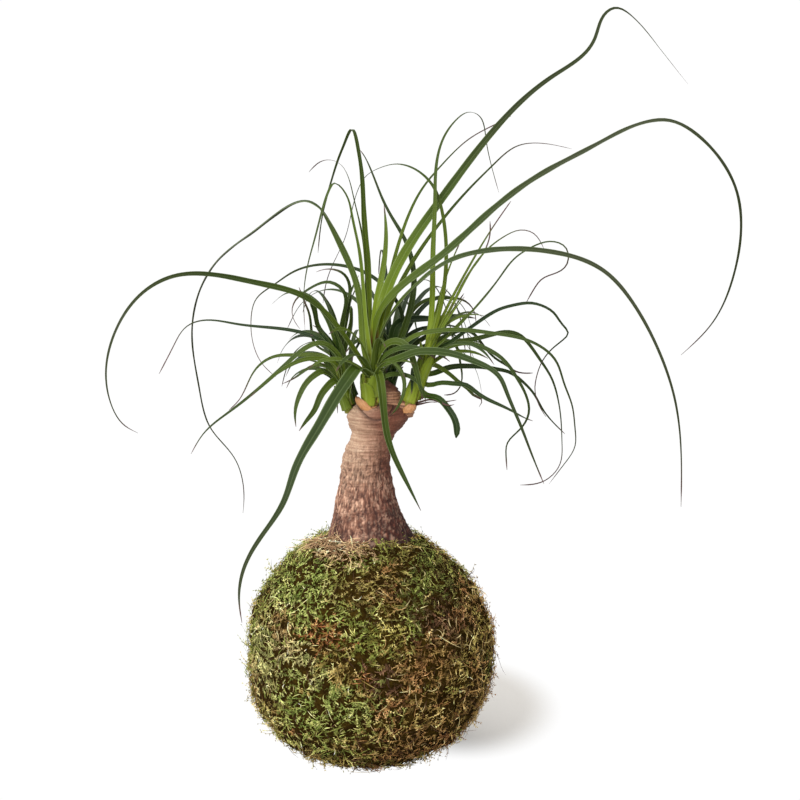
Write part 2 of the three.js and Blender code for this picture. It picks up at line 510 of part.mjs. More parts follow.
// A leaf grown by rule from the head of its shoot: it rises, arches over and droops like a loaded strip.
function sprayLeaf(spray, stemAt, place, random) {
  const growth = SPRAY_GROWTH;
  const turn = THREE.MathUtils.degToRad(spray.from + (spray.to - spray.from) * place);
  const free = THREE.MathUtils.lerp(...spray.length, random());
  const length = Math.min(free, spray.aside / (growth.overhead * Math.abs(Math.cos(turn)) + 0.01));
  const rise = THREE.MathUtils.lerp(...spray.rise, random());
  const width = THREE.MathUtils.lerp(...spray.width, random());
  const curl = THREE.MathUtils.degToRad(growth.curl * (random() - 0.5));
  const root = growth.lowestRoot + growth.rootSpan * random();
  const points = [stemAt(root)];
  for (let step = 1; step <= growth.steps; step += 1) {
    const share = (step - 0.5) / growth.steps;
    const slope = THREE.MathUtils.degToRad(rise - spray.fall * share ** growth.bow);
    const heading = turn + curl * share;
    const stride = length / growth.steps;
    points.push(points[step - 1].clone().add(new THREE.Vector3(
      stride * Math.cos(slope) * Math.cos(heading),
      stride * Math.cos(slope) * Math.sin(heading),
      stride * Math.sin(slope),
    )));
  }
  const roll = growth.roll * Math.cos(turn) * (growth.leastRoll + random());
  return { shoot: spray.shoot, points, width, roll, slim: slimShare(points) };
}

// How far a leaf slims towards its middle: longer ones more.
function slimShare(points) {
  let length = 0;
  for (let i = 1; i < points.length; i += 1) {
    length += points[i].distanceTo(points[i - 1]);
  }
  return BLADE.slimming * Math.min(length / BLADE.slimLength, 1);
}

// A drawn leaf, set at its own depth: the line starts on the stem.
function drawnLeaf(leaf, stemAt) {
  const start = stemAt(leaf.root);
  const last = leaf.line.length;
  const points = leaf.line.map(([across, up, depth], i) => {
    const share = (i + 1) / last;
    const reach = leaf.lean * Math.abs(across - start.x) + leaf.away * share ** 1.5;
    return seen(across, up, depth ?? start.y + reach);
  });
  return { ...leaf, points: [start, ...points], slim: slimShare([start, ...points]) };
}

// The middle line of a shoot's stem.
function stemCurve(name) {
  return splineThrough(SHOOTS[name].stem.map(([across, up, depth]) => seen(across, up, depth)));
}

// Give along the line of sight that is tried, in turn, to keep a leaf clear of the other shoots' leaves, how
// much room it leaves beyond both half widths, and the share of a half wave that it follows from root to tip.
const SWAYS = [0, 4, -4, 8, -8, 12, -12, 16, -16, 21, -21, 27, -27, 34, -34];
const LEAF_ROOM = 1.2;
const SWAY_WAVE = 0.62;
const SAMPLES = 40;

// A blade has a ring of corners about every STRIDE millimetres, and closer where it bends: a bend of one
// radian counts as BEND_WEIGHT millimetres.
const STRIDE = 19;
const BEND_WEIGHT = 34;
const NUDGE = 0.01;

// A leaf's line, given some sway along the line of sight: none at its root, most beyond its middle.
function swayedLine(leaf, sway) {
  const last = leaf.points.length - 1;
  const eye = viewersEye();
  const points = leaf.points.map((point, i) => {
    const away = point.clone().sub(eye).normalize();
    return point.clone().addScaledVector(away, sway * Math.sin((Math.PI * SWAY_WAVE * i) / last));
  });
  return splineThrough(points);
}

// Half the blade's width at a share of its length: narrow at the stem, widest in the first third, then
// tapering to a fine tip.
function halfWidth(leaf, share) {
  const opened = THREE.MathUtils.smoothstep(share, 0, BLADE.openBy);
  const opening = THREE.MathUtils.lerp(BLADE.rootWidth, 1, opened);
  const slimmed = 1 - leaf.slim * THREE.MathUtils.smoothstep(share, BLADE.slimFrom, BLADE.slimBy);
  const taper = leaf.blunt ? 1 : slimmed * (1 - share ** BLADE.taperStart) ** BLADE.taperEnd;
  return Math.max(0.5 * leaf.width * opening * taper, BLADE.leastHalfWidth);
}

// The least room between a line and the lines already placed in other shoots, less the room they need.
function room(leaf, line, placed) {
  let least = Infinity;
  const samples = Array.from({ length: SAMPLES + 1 }, (_, i) => line(i / SAMPLES));
  for (const other of placed) {
    if (other.shoot !== leaf.shoot) {
      for (let i = 2; i <= SAMPLES; i += 1) {
        for (let j = 2; j <= SAMPLES; j += 1) {
          const apart = samples[i].distanceTo(other.samples[j]);
          const need = halfWidth(leaf, i / SAMPLES) + other.half(j / SAMPLES) + LEAF_ROOM;
          least = Math.min(least, apart - need);
        }
      }
    }
  }
  return { least, samples };
}

// Settles every leaf: the first sway that leaves room is kept, or else the roomiest one. A leaf grown by rule
// that finds no room isn't grown.
function settledLeaves() {
  const placed = Object.entries(SHOOTS).map(([shoot, { radii }]) => {
    const curve = stemCurve(shoot);
    const samples = Array.from({ length: SAMPLES + 1 }, (_, i) => curve(i / SAMPLES));
    return { shoot, samples, half: () => Math.max(...radii) };
  });
  const leaves = [];
  const settle = (leaf, optional) => {
    let best = null;
    for (const sway of SWAYS) {
      const line = swayedLine(leaf, sway);
      const { least, samples } = room(leaf, line, placed);
      if (best === null || least > best.least) {
        best = { least, line, samples };
      }
      if (least > 0) {
        break;
      }
    }
    if (optional && best.least <= 0) {
      return;
    }
    placed.push({ shoot: leaf.shoot, samples: best.samples, half: (share) => halfWidth(leaf, share) });
    leaves.push({ ...leaf, curve: best.line });
  };
  LEAVES.forEach((leaf) => settle(drawnLeaf(leaf, stemCurve(leaf.shoot)), false));
  SPRAYS.forEach((spray) => {
    const random = seededRandom(spray.seed);
    const stemAt = stemCurve(spray.shoot);
    for (let i = 0; i < spray.count; i += 1) {
      const place = (i + 0.5 + 0.6 * (random() - 0.5)) / spray.count;
      settle(sprayLeaf(spray, stemAt, place, random), true);
    }
  });
  return leaves;
}

// Shares of a line's length that lie closer together where the line bends.
function sharesByBend(curve, steps) {
  const samples = 120;
  const weights = [0];
  for (let i = 0; i < samples; i += 1) {
    const before = curve(Math.max(i - 1, 0) / samples);
    const here = curve(i / samples);
    const after = curve((i + 1) / samples);
    const bend = i > 0 ? after.clone().sub(here).angleTo(here.clone().sub(before)) : 0;
    weights.push(weights[i] + after.distanceTo(here) + BEND_WEIGHT * bend);
  }
  const shares = [];
  let i = 0;
  for (let step = 0; step <= steps; step += 1) {
    const target = (weights[samples] * step) / steps;
    while (i + 1 < samples && weights[i + 1] < target) {
      i += 1;
    }
    const share = (i + (target - weights[i]) / (weights[i + 1] - weights[i])) / samples;
    shares.push(Math.min(share, 1));
  }
  return shares;
}

// A strap-shaped blade, folded a little along its midrib, as a closed solid.
function bladeSolid(leaf) {
  const length = lineLength(leaf.curve);
  const steps = Math.min(Math.max(Math.round(length / STRIDE), 5), 18);
  const start = leaf.curve(0);
  const far = farthestPoint(leaf.curve, start);
  const heading = Math.atan2(far.y - start.y, far.x - start.x);
  const level = new THREE.Vector3(Math.sin(heading), -Math.cos(heading), 0);
  const roll = THREE.MathUtils.degToRad(leaf.roll);
  const broad = leaf.width >= BLADE.broadFrom;
  const thick = broad ? BLADE.broadThickness : BLADE.narrowThickness;
  const creased = broad ? BLADE.broadFold : BLADE.narrowFold;
  const rings = sharesByBend(leaf.curve, steps).map((share) => {
    const middle = leaf.curve(share);
    const ahead = leaf.curve(Math.min(share + NUDGE, 1));
    const along = ahead.sub(leaf.curve(Math.max(share - NUDGE, 0))).normalize();
    const flat = level.clone().addScaledVector(along, -along.dot(level)).normalize();
    const side = flat.applyAxisAngle(along, roll);
    const face = side.clone().cross(along);
    const half = halfWidth(leaf, share);
    const fold = creased * half * (1 - 0.6 * share);
    const left = middle.clone().addScaledVector(side, -half);
    const right = middle.clone().addScaledVector(side, half);
    const under = middle.clone().addScaledVector(face, -fold - thick / 2);
    const over = middle.clone().addScaledVector(face, thick / 2 - fold);
    return broad ? [left, over, right, under] : [left, right, under];
  });
  return solid(loft(rings));
}

function lineLength(curve) {
  let length = 0;
  for (let i = 0; i < SAMPLES; i += 1) {
    length += curve(i / SAMPLES).distanceTo(curve((i + 1) / SAMPLES));
  }
  return length;
}

// The point of a line that lies furthest out, seen from above.
function farthestPoint(curve, start) {
  let far = curve(1);
  for (let i = 0; i <= SAMPLES; i += 1) {
    const point = curve(i / SAMPLES);
    if (Math.hypot(point.x - start.x, point.y - start.y) > Math.hypot(far.x - start.x, far.y - start.y)) {
      far = point;
    }
  }
  return far;
}

// The radius of a stem at a share of its length.
function stemRadius([foot, middle, head], share) {
  return share < 0.5
    ? THREE.MathUtils.lerp(foot, middle, 2 * share)
    : THREE.MathUtils.lerp(middle, head, 2 * share - 1);
}

function stemSolid(name, gap) {
  const curve = stemCurve(name);
  const { radii, sides } = SHOOTS[name];
  const steps = SECTIONS.stemSteps;
  const points = Array.from({ length: steps + 1 }, (_, i) => curve(i / steps));
  const widths = points.map((_, i) => stemRadius(radii, i / steps) * (i === steps ? 0.6 : 1));
  if (gap > 0) {
    points[0].addScaledVector(points[1].clone().sub(points[0]).normalize(), -gap);
  }
  return rod(points, widths.map((width) => width + gap), sides);
}

function shootSolid(name, leaves) {
  const blades = leaves.filter((leaf) => leaf.shoot === name).map(bladeSolid);
  return mainBody(joined([stemSolid(name, 0), ...blades]));
}

// Assembly

function finish(colour, roughness) {
  return new THREE.MeshStandardMaterial({ color: colour, roughness, metalness: 0, flatShading: true });
}

const FINISHES = {
  moss: finish(0x7c8436, 0.95),
  soil: finish(0x3a2a1c, 1),
  bark: finish(0xa98560, 0.85),
  leaf: finish(0x5f8a35, 0.5),
};

function build() {
  const group = new THREE.Group();
  const trunkBody = joined([trunkColumn(0), ...rootRods(0), ...stumpKnobs()]);
  const sockets = joined(Object.keys(SHOOTS).map((name) => stemSolid(name, CLEARANCE)));
  const trunkRoom = joined([trunkColumn(CLEARANCE), ...rootRods(CLEARANCE)]);
  const moss = ballSolid(0, BALL.relief, BALL.columns, BALL.rows)
    .subtract(ballSolid(MOSS_THICKNESS, 0, SOIL.columns, SOIL.rows))
    .subtract(trunkRoom);
  const soil = ballSolid(MOSS_THICKNESS + CLEARANCE, 0, SOIL.columns, SOIL.rows).subtract(trunkRoom);
  group.add(meshOf('moss_layer', mainBody(moss), FINISHES.moss));
  group.add(meshOf('soil_ball', mainBody(soil), FINISHES.soil));
  group.add(meshOf('trunk', mainBody(trunkBody.subtract(sockets)), FINISHES.bark));
  const leaves = settledLeaves();
  Object.keys(SHOOTS).forEach((name) => {
    group.add(meshOf(name, shootSolid(name, leaves), FINISHES.leaf));
  });
  return group;
}

export default build();
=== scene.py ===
"""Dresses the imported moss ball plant: moss fronds, bark and leaf blades over its solids, with floor and
light.

Lengths are in millimetres while a shape is worked out and in metres in its mesh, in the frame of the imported
model.
"""
import itertools
import logging
import math
from dataclasses import dataclass, field
from enum import Enum
from typing import Callable

import bpy
import numpy as np
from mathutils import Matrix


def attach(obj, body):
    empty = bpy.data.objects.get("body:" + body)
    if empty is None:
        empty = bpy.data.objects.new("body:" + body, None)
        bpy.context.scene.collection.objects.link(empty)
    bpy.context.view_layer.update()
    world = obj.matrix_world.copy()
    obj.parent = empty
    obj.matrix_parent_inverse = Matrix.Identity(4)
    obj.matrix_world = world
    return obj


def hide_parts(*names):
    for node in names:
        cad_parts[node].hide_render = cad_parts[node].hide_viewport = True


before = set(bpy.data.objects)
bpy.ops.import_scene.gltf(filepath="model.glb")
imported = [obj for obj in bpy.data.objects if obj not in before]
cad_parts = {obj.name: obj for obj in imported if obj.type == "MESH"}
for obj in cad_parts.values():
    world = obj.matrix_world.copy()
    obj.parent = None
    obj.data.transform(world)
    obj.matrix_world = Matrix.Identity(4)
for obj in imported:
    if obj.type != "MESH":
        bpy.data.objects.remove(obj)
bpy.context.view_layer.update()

LOG = logging.getLogger("kokedama")
MM = 0.001
TAU = 2.0 * math.pi
BLACK = (0.0, 0.0, 0.0, 1.0)
WHITE = (1.0, 1.0, 1.0, 1.0)
WORD = 0xFFFFFFFF
LATTICE_PRIMES = np.array([73856093, 19349663, 83492791])
SEED_PRIME = 40503
LATTICE_STIRS = ((15, 0x2C1B3C6D), (12, 0x297A2D39))

Array = np.ndarray
Colour = tuple[float, ...]
Pair = tuple[float, float]
Triple = tuple[float, float, float]
Four = tuple[float, float, float, float]
ArrayPair = tuple[np.ndarray, np.ndarray]
Faces = list[Array]
Material = bpy.types.Material
Node = bpy.types.Node
Random = np.random.Generator
Relief = Callable[[Array, Array], Array]
Socket = bpy.types.NodeSocket
Stops = tuple[tuple[float, Colour], ...]
Tree = bpy.types.NodeTree
Feed = Socket | float | Colour


# Numbers and curves

def srgb(red: float, green: float, blue: float) -> Colour:
    """A screen colour of 0 to 255 as the linear colour that a shader takes, with full alpha."""
    shares = (red / 255, green / 255, blue / 255)
    return (*((c / 12.92 if c <= 0.04045 else ((c + 0.055) / 1.055) ** 2.4) for c in shares), 1.0)


def smoothstep(value: Array, low: float, high: float) -> Array:
    """A smooth rise from 0 at low to 1 at high."""
    share = np.clip((np.asarray(value, dtype=float) - low) / (high - low), 0.0, 1.0)
    return share * share * (3.0 - 2.0 * share)


def unit(vectors: Array) -> Array:
    """The same vectors with length one."""
    return vectors / np.maximum(np.linalg.norm(vectors, axis=-1, keepdims=True), 1e-9)


def lattice_value(cell: Array, seed: int) -> Array:
    """A fixed draw from 0 to 1 for each whole-numbered cell of space.

    Args:
        cell: Whole coordinates, three to a row.
        seed: Which set of draws to use.

    Returns:
        One draw for each row.
    """
    mixed = (cell @ LATTICE_PRIMES + seed * SEED_PRIME) & WORD
    for shift, stir in LATTICE_STIRS:
        mixed = ((mixed ^ (mixed >> shift)) * stir) & WORD
    return (mixed ^ (mixed >> LATTICE_STIRS[0][0])) / WORD


def smooth_noise(points: Array, seed: int = 0) -> Array:
    """Smooth noise from -1 to 1, with lumps about one unit across.

    Args:
        points: Places in space, three numbers to a row.
        seed: Which set of draws to use.

    Returns:
        One value for each place.
    """
    cell = np.floor(points).astype(np.int64)
    part = points - cell
    fade = part * part * (3.0 - 2.0 * part)
    total = np.zeros(points.shape[:-1])
    for corner in itertools.product((0, 1), repeat=3):
        weight = np.prod(np.where(corner, fade, 1.0 - fade), axis=-1)
        total += weight * lattice_value(cell + np.array(corner), seed)
    return 2.0 * total - 1.0


def noise_on(points: Array, size: float | tuple[float, ...], seed: int) -> Array:
    """Smooth noise for a grid of points, with lumps of a size in millimetres."""
    return smooth_noise(points.reshape(-1, 3) / np.array(size), seed).reshape(points.shape[:-1])


def noise_vectors(points: Array, seed: int) -> Array:
    """Three noise values for each place, one for each axis."""
    return np.stack([smooth_noise(points, seed + axis) for axis in range(3)], axis=-1)


def cracks(points: Array, seed: int = 0) -> Array:
    """How far each place is from the border between scattered cells: 0 on a border.

    Args:
        points: Places in space, three numbers to a row.
        seed: Which set of draws to use.

    Returns:
        One distance for each place, in cells.
    """
    cell = np.floor(points).astype(np.int64)
    nearest = np.full(len(points), np.inf)
    second = np.full(len(points), np.inf)
    for step in itertools.product((-1, 0, 1), repeat=3):
        other = cell + np.array(step)
        heart = other + np.stack([lattice_value(other, seed + axis) for axis in range(3)], axis=-1)
        apart = np.linalg.norm(points - heart, axis=-1)
        second = np.minimum(second, np.maximum(apart, nearest))
        nearest = np.minimum(nearest, apart)
    return second - nearest


class SeededDraws:
    """The same run of draws that the part's source uses, so that both place their leaves alike."""

    STRIDE = 0x6D2B79F5

    def __init__(self, seed: int) -> None:
        """Starts the run at a seed."""
        self.state = seed

    def __call__(self) -> float:
        """The next draw, from 0 to 1.

        Returns:
            The draw.
        """
        self.state = (self.state + self.STRIDE) & WORD
        mixed = self.state
        mixed = ((mixed ^ (mixed >> 15)) * (mixed | 1)) & WORD
        mixed ^= (mixed + (((mixed ^ (mixed >> 7)) * (mixed | 61)) & WORD)) & WORD
        return ((mixed ^ (mixed >> 14)) & WORD) / (WORD + 1)


class Spline:
    """A natural cubic through points, run by chord length."""

    NUDGE = 0.01

    def __init__(self, points: Array) -> None:
        """Works out the curve.

        Args:
            points: The points that it passes through, one to a row.
        """
        self.points = np.asarray(points, dtype=float)
        strides = np.linalg.norm(np.diff(self.points, axis=0), axis=1)
        self.knots = np.concatenate([[0.0], np.cumsum(strides)])
        self.bends = self._natural_bends()

    def _natural_bends(self) -> Array:
        """Works out the second derivatives at the knots.

        Returns:
            One row for each knot.
        """
        knots, values = self.knots, self.points
        bends, carried = np.zeros_like(values), np.zeros_like(values)
        for i in range(1, len(knots) - 1):
            span = knots[i + 1] - knots[i - 1]
            share = (knots[i] - knots[i - 1]) / span
            pivot = share * bends[i - 1] + 2.0
            after = (values[i + 1] - values[i]) / (knots[i + 1] - knots[i])
            before = (values[i] - values[i - 1]) / (knots[i] - knots[i - 1])
            bends[i] = (share - 1.0) / pivot
            carried[i] = (6.0 * (after - before) / span - share * carried[i - 1]) / pivot
        bends[-1] = 0.0
        for i in range(len(knots) - 2, -1, -1):
            bends[i] = bends[i] * bends[i + 1] + carried[i]
        return bends

    def __call__(self, shares: float | Array) -> Array:
        """Points of the curve.

        Args:
            shares: Shares of its length, from 0 to 1.

        Returns:
            A point for each share.
        """
        at = np.clip(np.asarray(shares, dtype=float), 0.0, 1.0) * self.knots[-1]
        i = np.clip(np.searchsorted(self.knots, at, side="left") - 1, 0, len(self.knots) - 2)
        step = self.knots[i + 1] - self.knots[i]
        a = ((self.knots[i + 1] - at) / step)[..., None]
        b = 1.0 - a
        bend = (a**3 - a) * self.bends[i] + (b**3 - b) * self.bends[i + 1]
        return a * self.points[i] + b * self.points[i + 1] + bend * (step[..., None] ** 2 / 6.0)

    def tangents(self, shares: Array) -> Array:
        """Directions of the curve at shares of its length."""
        return unit(self(shares + self.NUDGE) - self(shares - self.NUDGE))

    def length(self, parts: int) -> float:
        """The length of the curve, measured in a number of parts."""
        return float(np.linalg.norm(np.diff(self(np.linspace(0, 1, parts + 1)), axis=0), axis=1).sum())


# Meshes

def ring_faces(rows: int, sides: int, first_cap: bool = True, last_cap: bool = True) -> Faces:
    """Faces of a closed skin over rings of points.

    Args:
        rows: How many rings there are.
        sides: How many points each ring has.
        first_cap: Whether the first ring is closed.
        last_cap: Whether the last ring is closed.

    Returns:
        The four-cornered faces, then each cap.
    """
    row, side = np.meshgrid(np.arange(rows - 1), np.arange(sides), indexing="ij")
    here, ahead = row * sides + side, row * sides + (side + 1) % sides
    faces = [np.stack([here, ahead, ahead + sides, here + sides], axis=-1).reshape(-1, 4)]
    if first_cap:
        faces.append(np.arange(sides)[::-1][None, :])
    if last_cap:
        faces.append(((rows - 1) * sides + np.arange(sides))[None, :])
    return faces


def folded(outer: Array, inner: Array, axis: int = 1) -> Array:
    """Rings that run out along one row of points and back along another."""
    return np.concatenate([outer, np.flip(inner, axis)], axis=axis)


def turned(first: Array, second: Array, angle: Array) -> Array:
    """Directions between two that stand square to each other, by an angle from the first."""
    return first * np.cos(angle)[..., None] + second * np.sin(angle)[..., None]


def round_line(along: Array) -> ArrayPair:
    """Two directions square to each other and to each direction along a line."""
    first = unit(np.array([0.0, 1.0, 0.0]) - along * along[:, 1:2])
    return first, np.cross(along, first)


def tube(line: Array, radii: Array, sides: int, relief: Relief | None = None) -> Array:
    """Rings of points round a line.

    Args:
        line: The points of the line.
        radii: A radius for each point.
        sides: How many points each ring has.
        relief: Extra radius as a function of the share along and the turn round, or None.

    Returns:
        The rings, as rows, sides and x, y, z.
    """
    first, second = round_line(unit(np.gradient(line, axis=0)))
    turns = TAU * np.arange(sides) / sides
    radius = np.repeat(np.asarray(radii, dtype=float)[:, None], sides, axis=1)
    if relief is not None:
        radius = radius + relief(np.linspace(0, 1, len(line))[:, None], turns[None, :])
    return line[:, None] + radius[..., None] * turned(first[:, None], second[:, None], turns[None, :])


class MeshStock:
    """Gathers points, faces and values at the points, and makes one piece of them."""

    def __init__(self) -> None:
        """Starts empty."""
        self.points: list[Array] = []
        self.corners: list[Array] = []
        self.sizes: list[Array] = []
        self.values: dict[str, list[Array]] = {}
        self.count = 0

    def add(self, points: Array, faces: Faces, **values: Array | float) -> None:
        """Adds one shape.

        Args:
            points: Its points in millimetres, in any arrangement that ends with x, y and z.
            faces: Its faces, as arrays with one face to a row.
            **values: Numbers that spread over the points, or a colour for each. Every shape gives the same
                names.
        """
        grid = points.shape[:-1]
        for batch in faces:
            self.corners.append((batch + self.count).ravel())
            self.sizes.append(np.full(len(batch), batch.shape[1]))
        for name, value in values.items():
            value = np.asarray(value, dtype=float)
            own = value.ndim == points.ndim
            spread = value.reshape(-1, 3) if own else np.broadcast_to(value, grid).ravel()
            self.values.setdefault(name, []).append(spread)
        self.points.append(points.reshape(-1, 3))
        self.count += math.prod(grid)

    def skin(self, rings: Array, **values: Array | float) -> None:
        """Adds a closed skin over rings of points, with its values."""
        self.add(rings, ring_faces(*rings.shape[:2]), **values)

    def piece(self, name: str, material: Material, slot: str, *nodes: str) -> None:
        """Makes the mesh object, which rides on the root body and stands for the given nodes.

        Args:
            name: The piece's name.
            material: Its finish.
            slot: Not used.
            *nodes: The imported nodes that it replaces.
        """
        corners, sizes = np.concatenate(self.corners), np.concatenate(self.sizes)
        points = np.concatenate(self.points) * MM
        mesh = bpy.data.meshes.new(name)
        mesh.vertices.add(len(points))
        mesh.loops.add(len(corners))
        mesh.polygons.add(len(sizes))
        mesh.vertices.foreach_set("co", points.astype(np.float32).ravel())
        mesh.loops.foreach_set("vertex_index", corners.astype(np.int32))
        mesh.polygons.foreach_set("loop_start", (np.cumsum(sizes) - sizes).astype(np.int32))
        mesh.polygons.foreach_set("use_smooth", np.ones(len(sizes), dtype=bool))
        for key, batches in self.values.items():
            value = np.concatenate(batches).astype(np.float32)
            if value.ndim == 2:
                layer = mesh.attributes.new(key, "FLOAT_COLOR", "POINT")
                layer.data.foreach_set("color", np.c_[value, np.ones(len(value), np.float32)].ravel())
            else:
                layer = mesh.attributes.new(key, "FLOAT", "POINT")
                layer.data.foreach_set("value", value)
        mesh.update(calc_edges=True)
        mesh.validate()
        mesh.materials.append(material)
        thing = bpy.data.objects.new(name, mesh)
        bpy.context.scene.collection.objects.link(thing)
        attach(thing, "root")
        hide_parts(*nodes)
        LOG.info("%s: %d points, %d triangles", name, len(points), int((sizes - 2).sum()))


# Shader tools

class Sheet:
    """One shader tree, and the steps that effects and finishes are made of."""

    def __init__(self, tree: Tree, effects: "SharedEffects | None" = None) -> None:
        """Takes the tree that the nodes go in, and the shared groups where they are used."""
        self.tree, self.effects = tree, effects

    def feed(self, node: Node, feeds: dict[str | int, Feed]) -> None:
        """Gives some inputs of a node what they take.

        Args:
            node: The node.
            feeds: What each input gets: a socket to link from, or a value.
        """
        for key, feed in feeds.items():
            if isinstance(feed, Socket):
                self.tree.links.new(feed, node.inputs[key])
            else:
                node.inputs[key].default_value = feed

    def node(self, kind: str, feeds: dict[str | int, Feed] | None = None, **settings: object) -> Node:
        """Puts one shader node in the tree.

        Args:
            kind: Blender's name for the kind of node, less the words that all of them share.
            feeds: What each input gets: a socket to link from, or a value.
            **settings: The node's own settings.

        Returns:
            The node.
        """
        node = self.tree.nodes.new("ShaderNode" + kind)
        for name, setting in settings.items():
            setattr(node, name, setting)
        self.feed(node, feeds or {})
        return node

    def point_value(self, name: str, output: str = "Fac") -> Socket:
        """The socket of a value stored at the mesh's points."""
        return self.node("Attribute", attribute_name=name).outputs[output]

    def spot(self) -> Socket:
        """The place on the piece in metres, in the piece's own frame."""
        return self.node("TexCoord").outputs["Object"]

    def maths(self, operation: str, *values: Feed, clamp: bool = False) -> Socket:
        """One step of arithmetic."""
        return self.node("Math", dict(enumerate(values)), operation=operation, use_clamp=clamp).outputs[0]

    def times(self, value: Feed, factor: Feed, plus: Feed | None = None) -> Socket:
        """A value times a factor, with another added where it is given."""
        extra = () if plus is None else (plus,)
        return self.maths("MULTIPLY_ADD" if extra else "MULTIPLY", value, factor, *extra)

    def size_of(self, value: Feed) -> Socket:
        """A value without its sign."""
        return self.maths("ABSOLUTE", value)

    def spread(self, value: Socket, contrast: Feed) -> Socket:
        """A value from 0 to 1, spread away from its middle by a contrast."""
        return self.maths("ADD", self.times(self.maths("SUBTRACT", value, 0.5), contrast), 0.5, clamp=True)

    def rise(self, value: Feed, low: float, high: float) -> Socket:
        """A smooth rise from 0 where the value is low to 1 where it is high."""
        return self.node("MapRange", {0: value, 1: low, 2: high}, interpolation_type="SMOOTHSTEP").outputs[0]

    def mix(self, share: Feed, first: Feed, second: Feed, how: str = "MIX") -> Socket:
        """The first colour with a share of the second mixed in."""
        settings = {"data_type": "RGBA", "blend_type": how, "clamp_factor": True}
        return self.node("Mix", {0: share, 6: first, 7: second}, **settings).outputs[2]

    def wash(self, share: Feed, base: Socket, tint: Feed) -> Socket:
        """A colour darkened by a share of a tint laid over it."""
        return self.mix(share, base, self.mix(1.0, base, tint, "MULTIPLY"))

    def ramp(self, value: Feed, stops: Stops) -> Socket:
        """A colour that runs through stops as a value goes from 0 to 1.

        Args:
            value: Where on the run to read.
            stops: Each place with its colour, in order.

        Returns:
            The colour.
        """
        node = self.node("ValToRGB", {0: value})
        elements = node.color_ramp.elements
        while len(elements) < len(stops):
            elements.new(1.0)
        for element, (position, colour) in zip(elements, stops):
            element.position, element.color = position, colour
        return node.outputs[0]

    def clouds(self, spot: Socket, scale: float, contrast: float) -> Socket:
        """Cloudy variation in a material: scale is in clouds to a metre."""
        return self.node("Group", {0: spot, 1: scale, 2: contrast}, node_tree=self.effects.mottle).outputs[0]

    def threads(self, along: Feed, across: Feed, about: Feed, contrast: float) -> Socket:
        """Fine threads in a material."""
        feeds = {0: along, 1: across, 2: about, 3: contrast}
        return self.node("Group", feeds, node_tree=self.effects.fibres).outputs[0]

    def ragged(self, measure: Feed, limit: float, softness: float, breakup: Feed) -> Socket:
        """A mask with a broken edge in a material."""
        feeds = {0: measure, 1: limit, 2: softness, 3: breakup}
        return self.node("Group", feeds, node_tree=self.effects.fray).outputs[0]


class SharedEffects:
    """Shader node groups that more than one finish uses, each built once."""

    def __init__(self) -> None:
        """Builds the groups."""
        self.mottle = self.group("Mottle", ("Place", "Scale", "Contrast"), self.draw_mottle)
        self.fibres = self.group("Fibres", ("Along", "Across", "Round", "Contrast"), self.draw_fibres)
        self.fray = self.group("Ragged Edge", ("Measure", "Limit", "Softness", "Breakup"), self.draw_fray)

    @staticmethod
    def group(name: str, inputs: tuple[str, ...], draw: Callable[..., Socket]) -> Tree:
        """Builds one group.

        Args:
            name: The group's name.
            inputs: Its inputs, which are numbers, apart from a Place.
            draw: What makes its value of its inputs' sockets.

        Returns:
            The group's tree.
        """
        tree = bpy.data.node_groups.new(name, "ShaderNodeTree")
        for label in inputs:
            kind = "NodeSocketVector" if label == "Place" else "NodeSocketFloat"
            tree.interface.new_socket(name=label, in_out="INPUT", socket_type=kind)
        tree.interface.new_socket(name="Value", in_out="OUTPUT", socket_type="NodeSocketFloat")
        source, result = tree.nodes.new("NodeGroupInput"), tree.nodes.new("NodeGroupOutput")
        value = draw(Sheet(tree), *(source.outputs[label] for label in inputs))
        tree.links.new(value, result.inputs["Value"])
        return tree

    @staticmethod
    def draw_mottle(sheet: Sheet, spot: Socket, scale: Socket, contrast: Socket) -> Socket:
        """Cloudy variation from 0 to 1, with finer clouds inside the broad ones."""
        cloud = sheet.node("TexNoise", {"Vector": spot, "Scale": scale, "Detail": 5.0, "Roughness": 0.62})
        return sheet.spread(cloud.outputs[0], contrast)

    @staticmethod
    def draw_fibres(sheet: Sheet, along: Socket, across: Socket, about: Socket, contrast: Socket) -> Socket:
        """Fine threads that run along one coordinate and vary across the others.

        Args:
            sheet: The group's tree.
            along: The coordinate that they run along.
            across: The coordinate that they vary across.
            about: A third coordinate, which sets them apart round a piece.
            contrast: How far they spread from the middle.

        Returns:
            The threads, from 0 to 1.
        """
        spot = sheet.node("CombineXYZ", {0: along, 1: across, 2: about}).outputs[0]
        threads = sheet.node("TexNoise", {"Vector": spot, "Scale": 1.0, "Detail": 3.0, "Roughness": 0.55})
        return sheet.spread(threads.outputs[0], contrast)

    @staticmethod
    def draw_fray(sheet: Sheet, measure: Socket, limit: Socket, softness: Socket, breakup: Socket) -> Socket:
        """A ragged mask: 1 where a measure passes a limit, with a broken edge.

        Args:
            sheet: The group's tree.
            measure: What is measured.
            limit: Where the edge lies.
            softness: How wide the edge is.
            breakup: What breaks it, from 0 to 1.

        Returns:
            The mask.
        """
        moved = sheet.times(sheet.maths("SUBTRACT", breakup, 0.5), softness, measure)
        share = sheet.maths("DIVIDE", sheet.maths("SUBTRACT", moved, limit), softness)
        return sheet.maths("ADD", share, 0.5, clamp=True)


# Finishes

@dataclass(frozen=True)
class Coat:
    """What a finish feeds its main shader: colour, roughness, a relief from 0 to 1, and inputs of its own."""

    colour: Feed
    roughness: Feed
    relief: Socket | None = None
    extra: dict[str, Feed] = field(default_factory=dict)


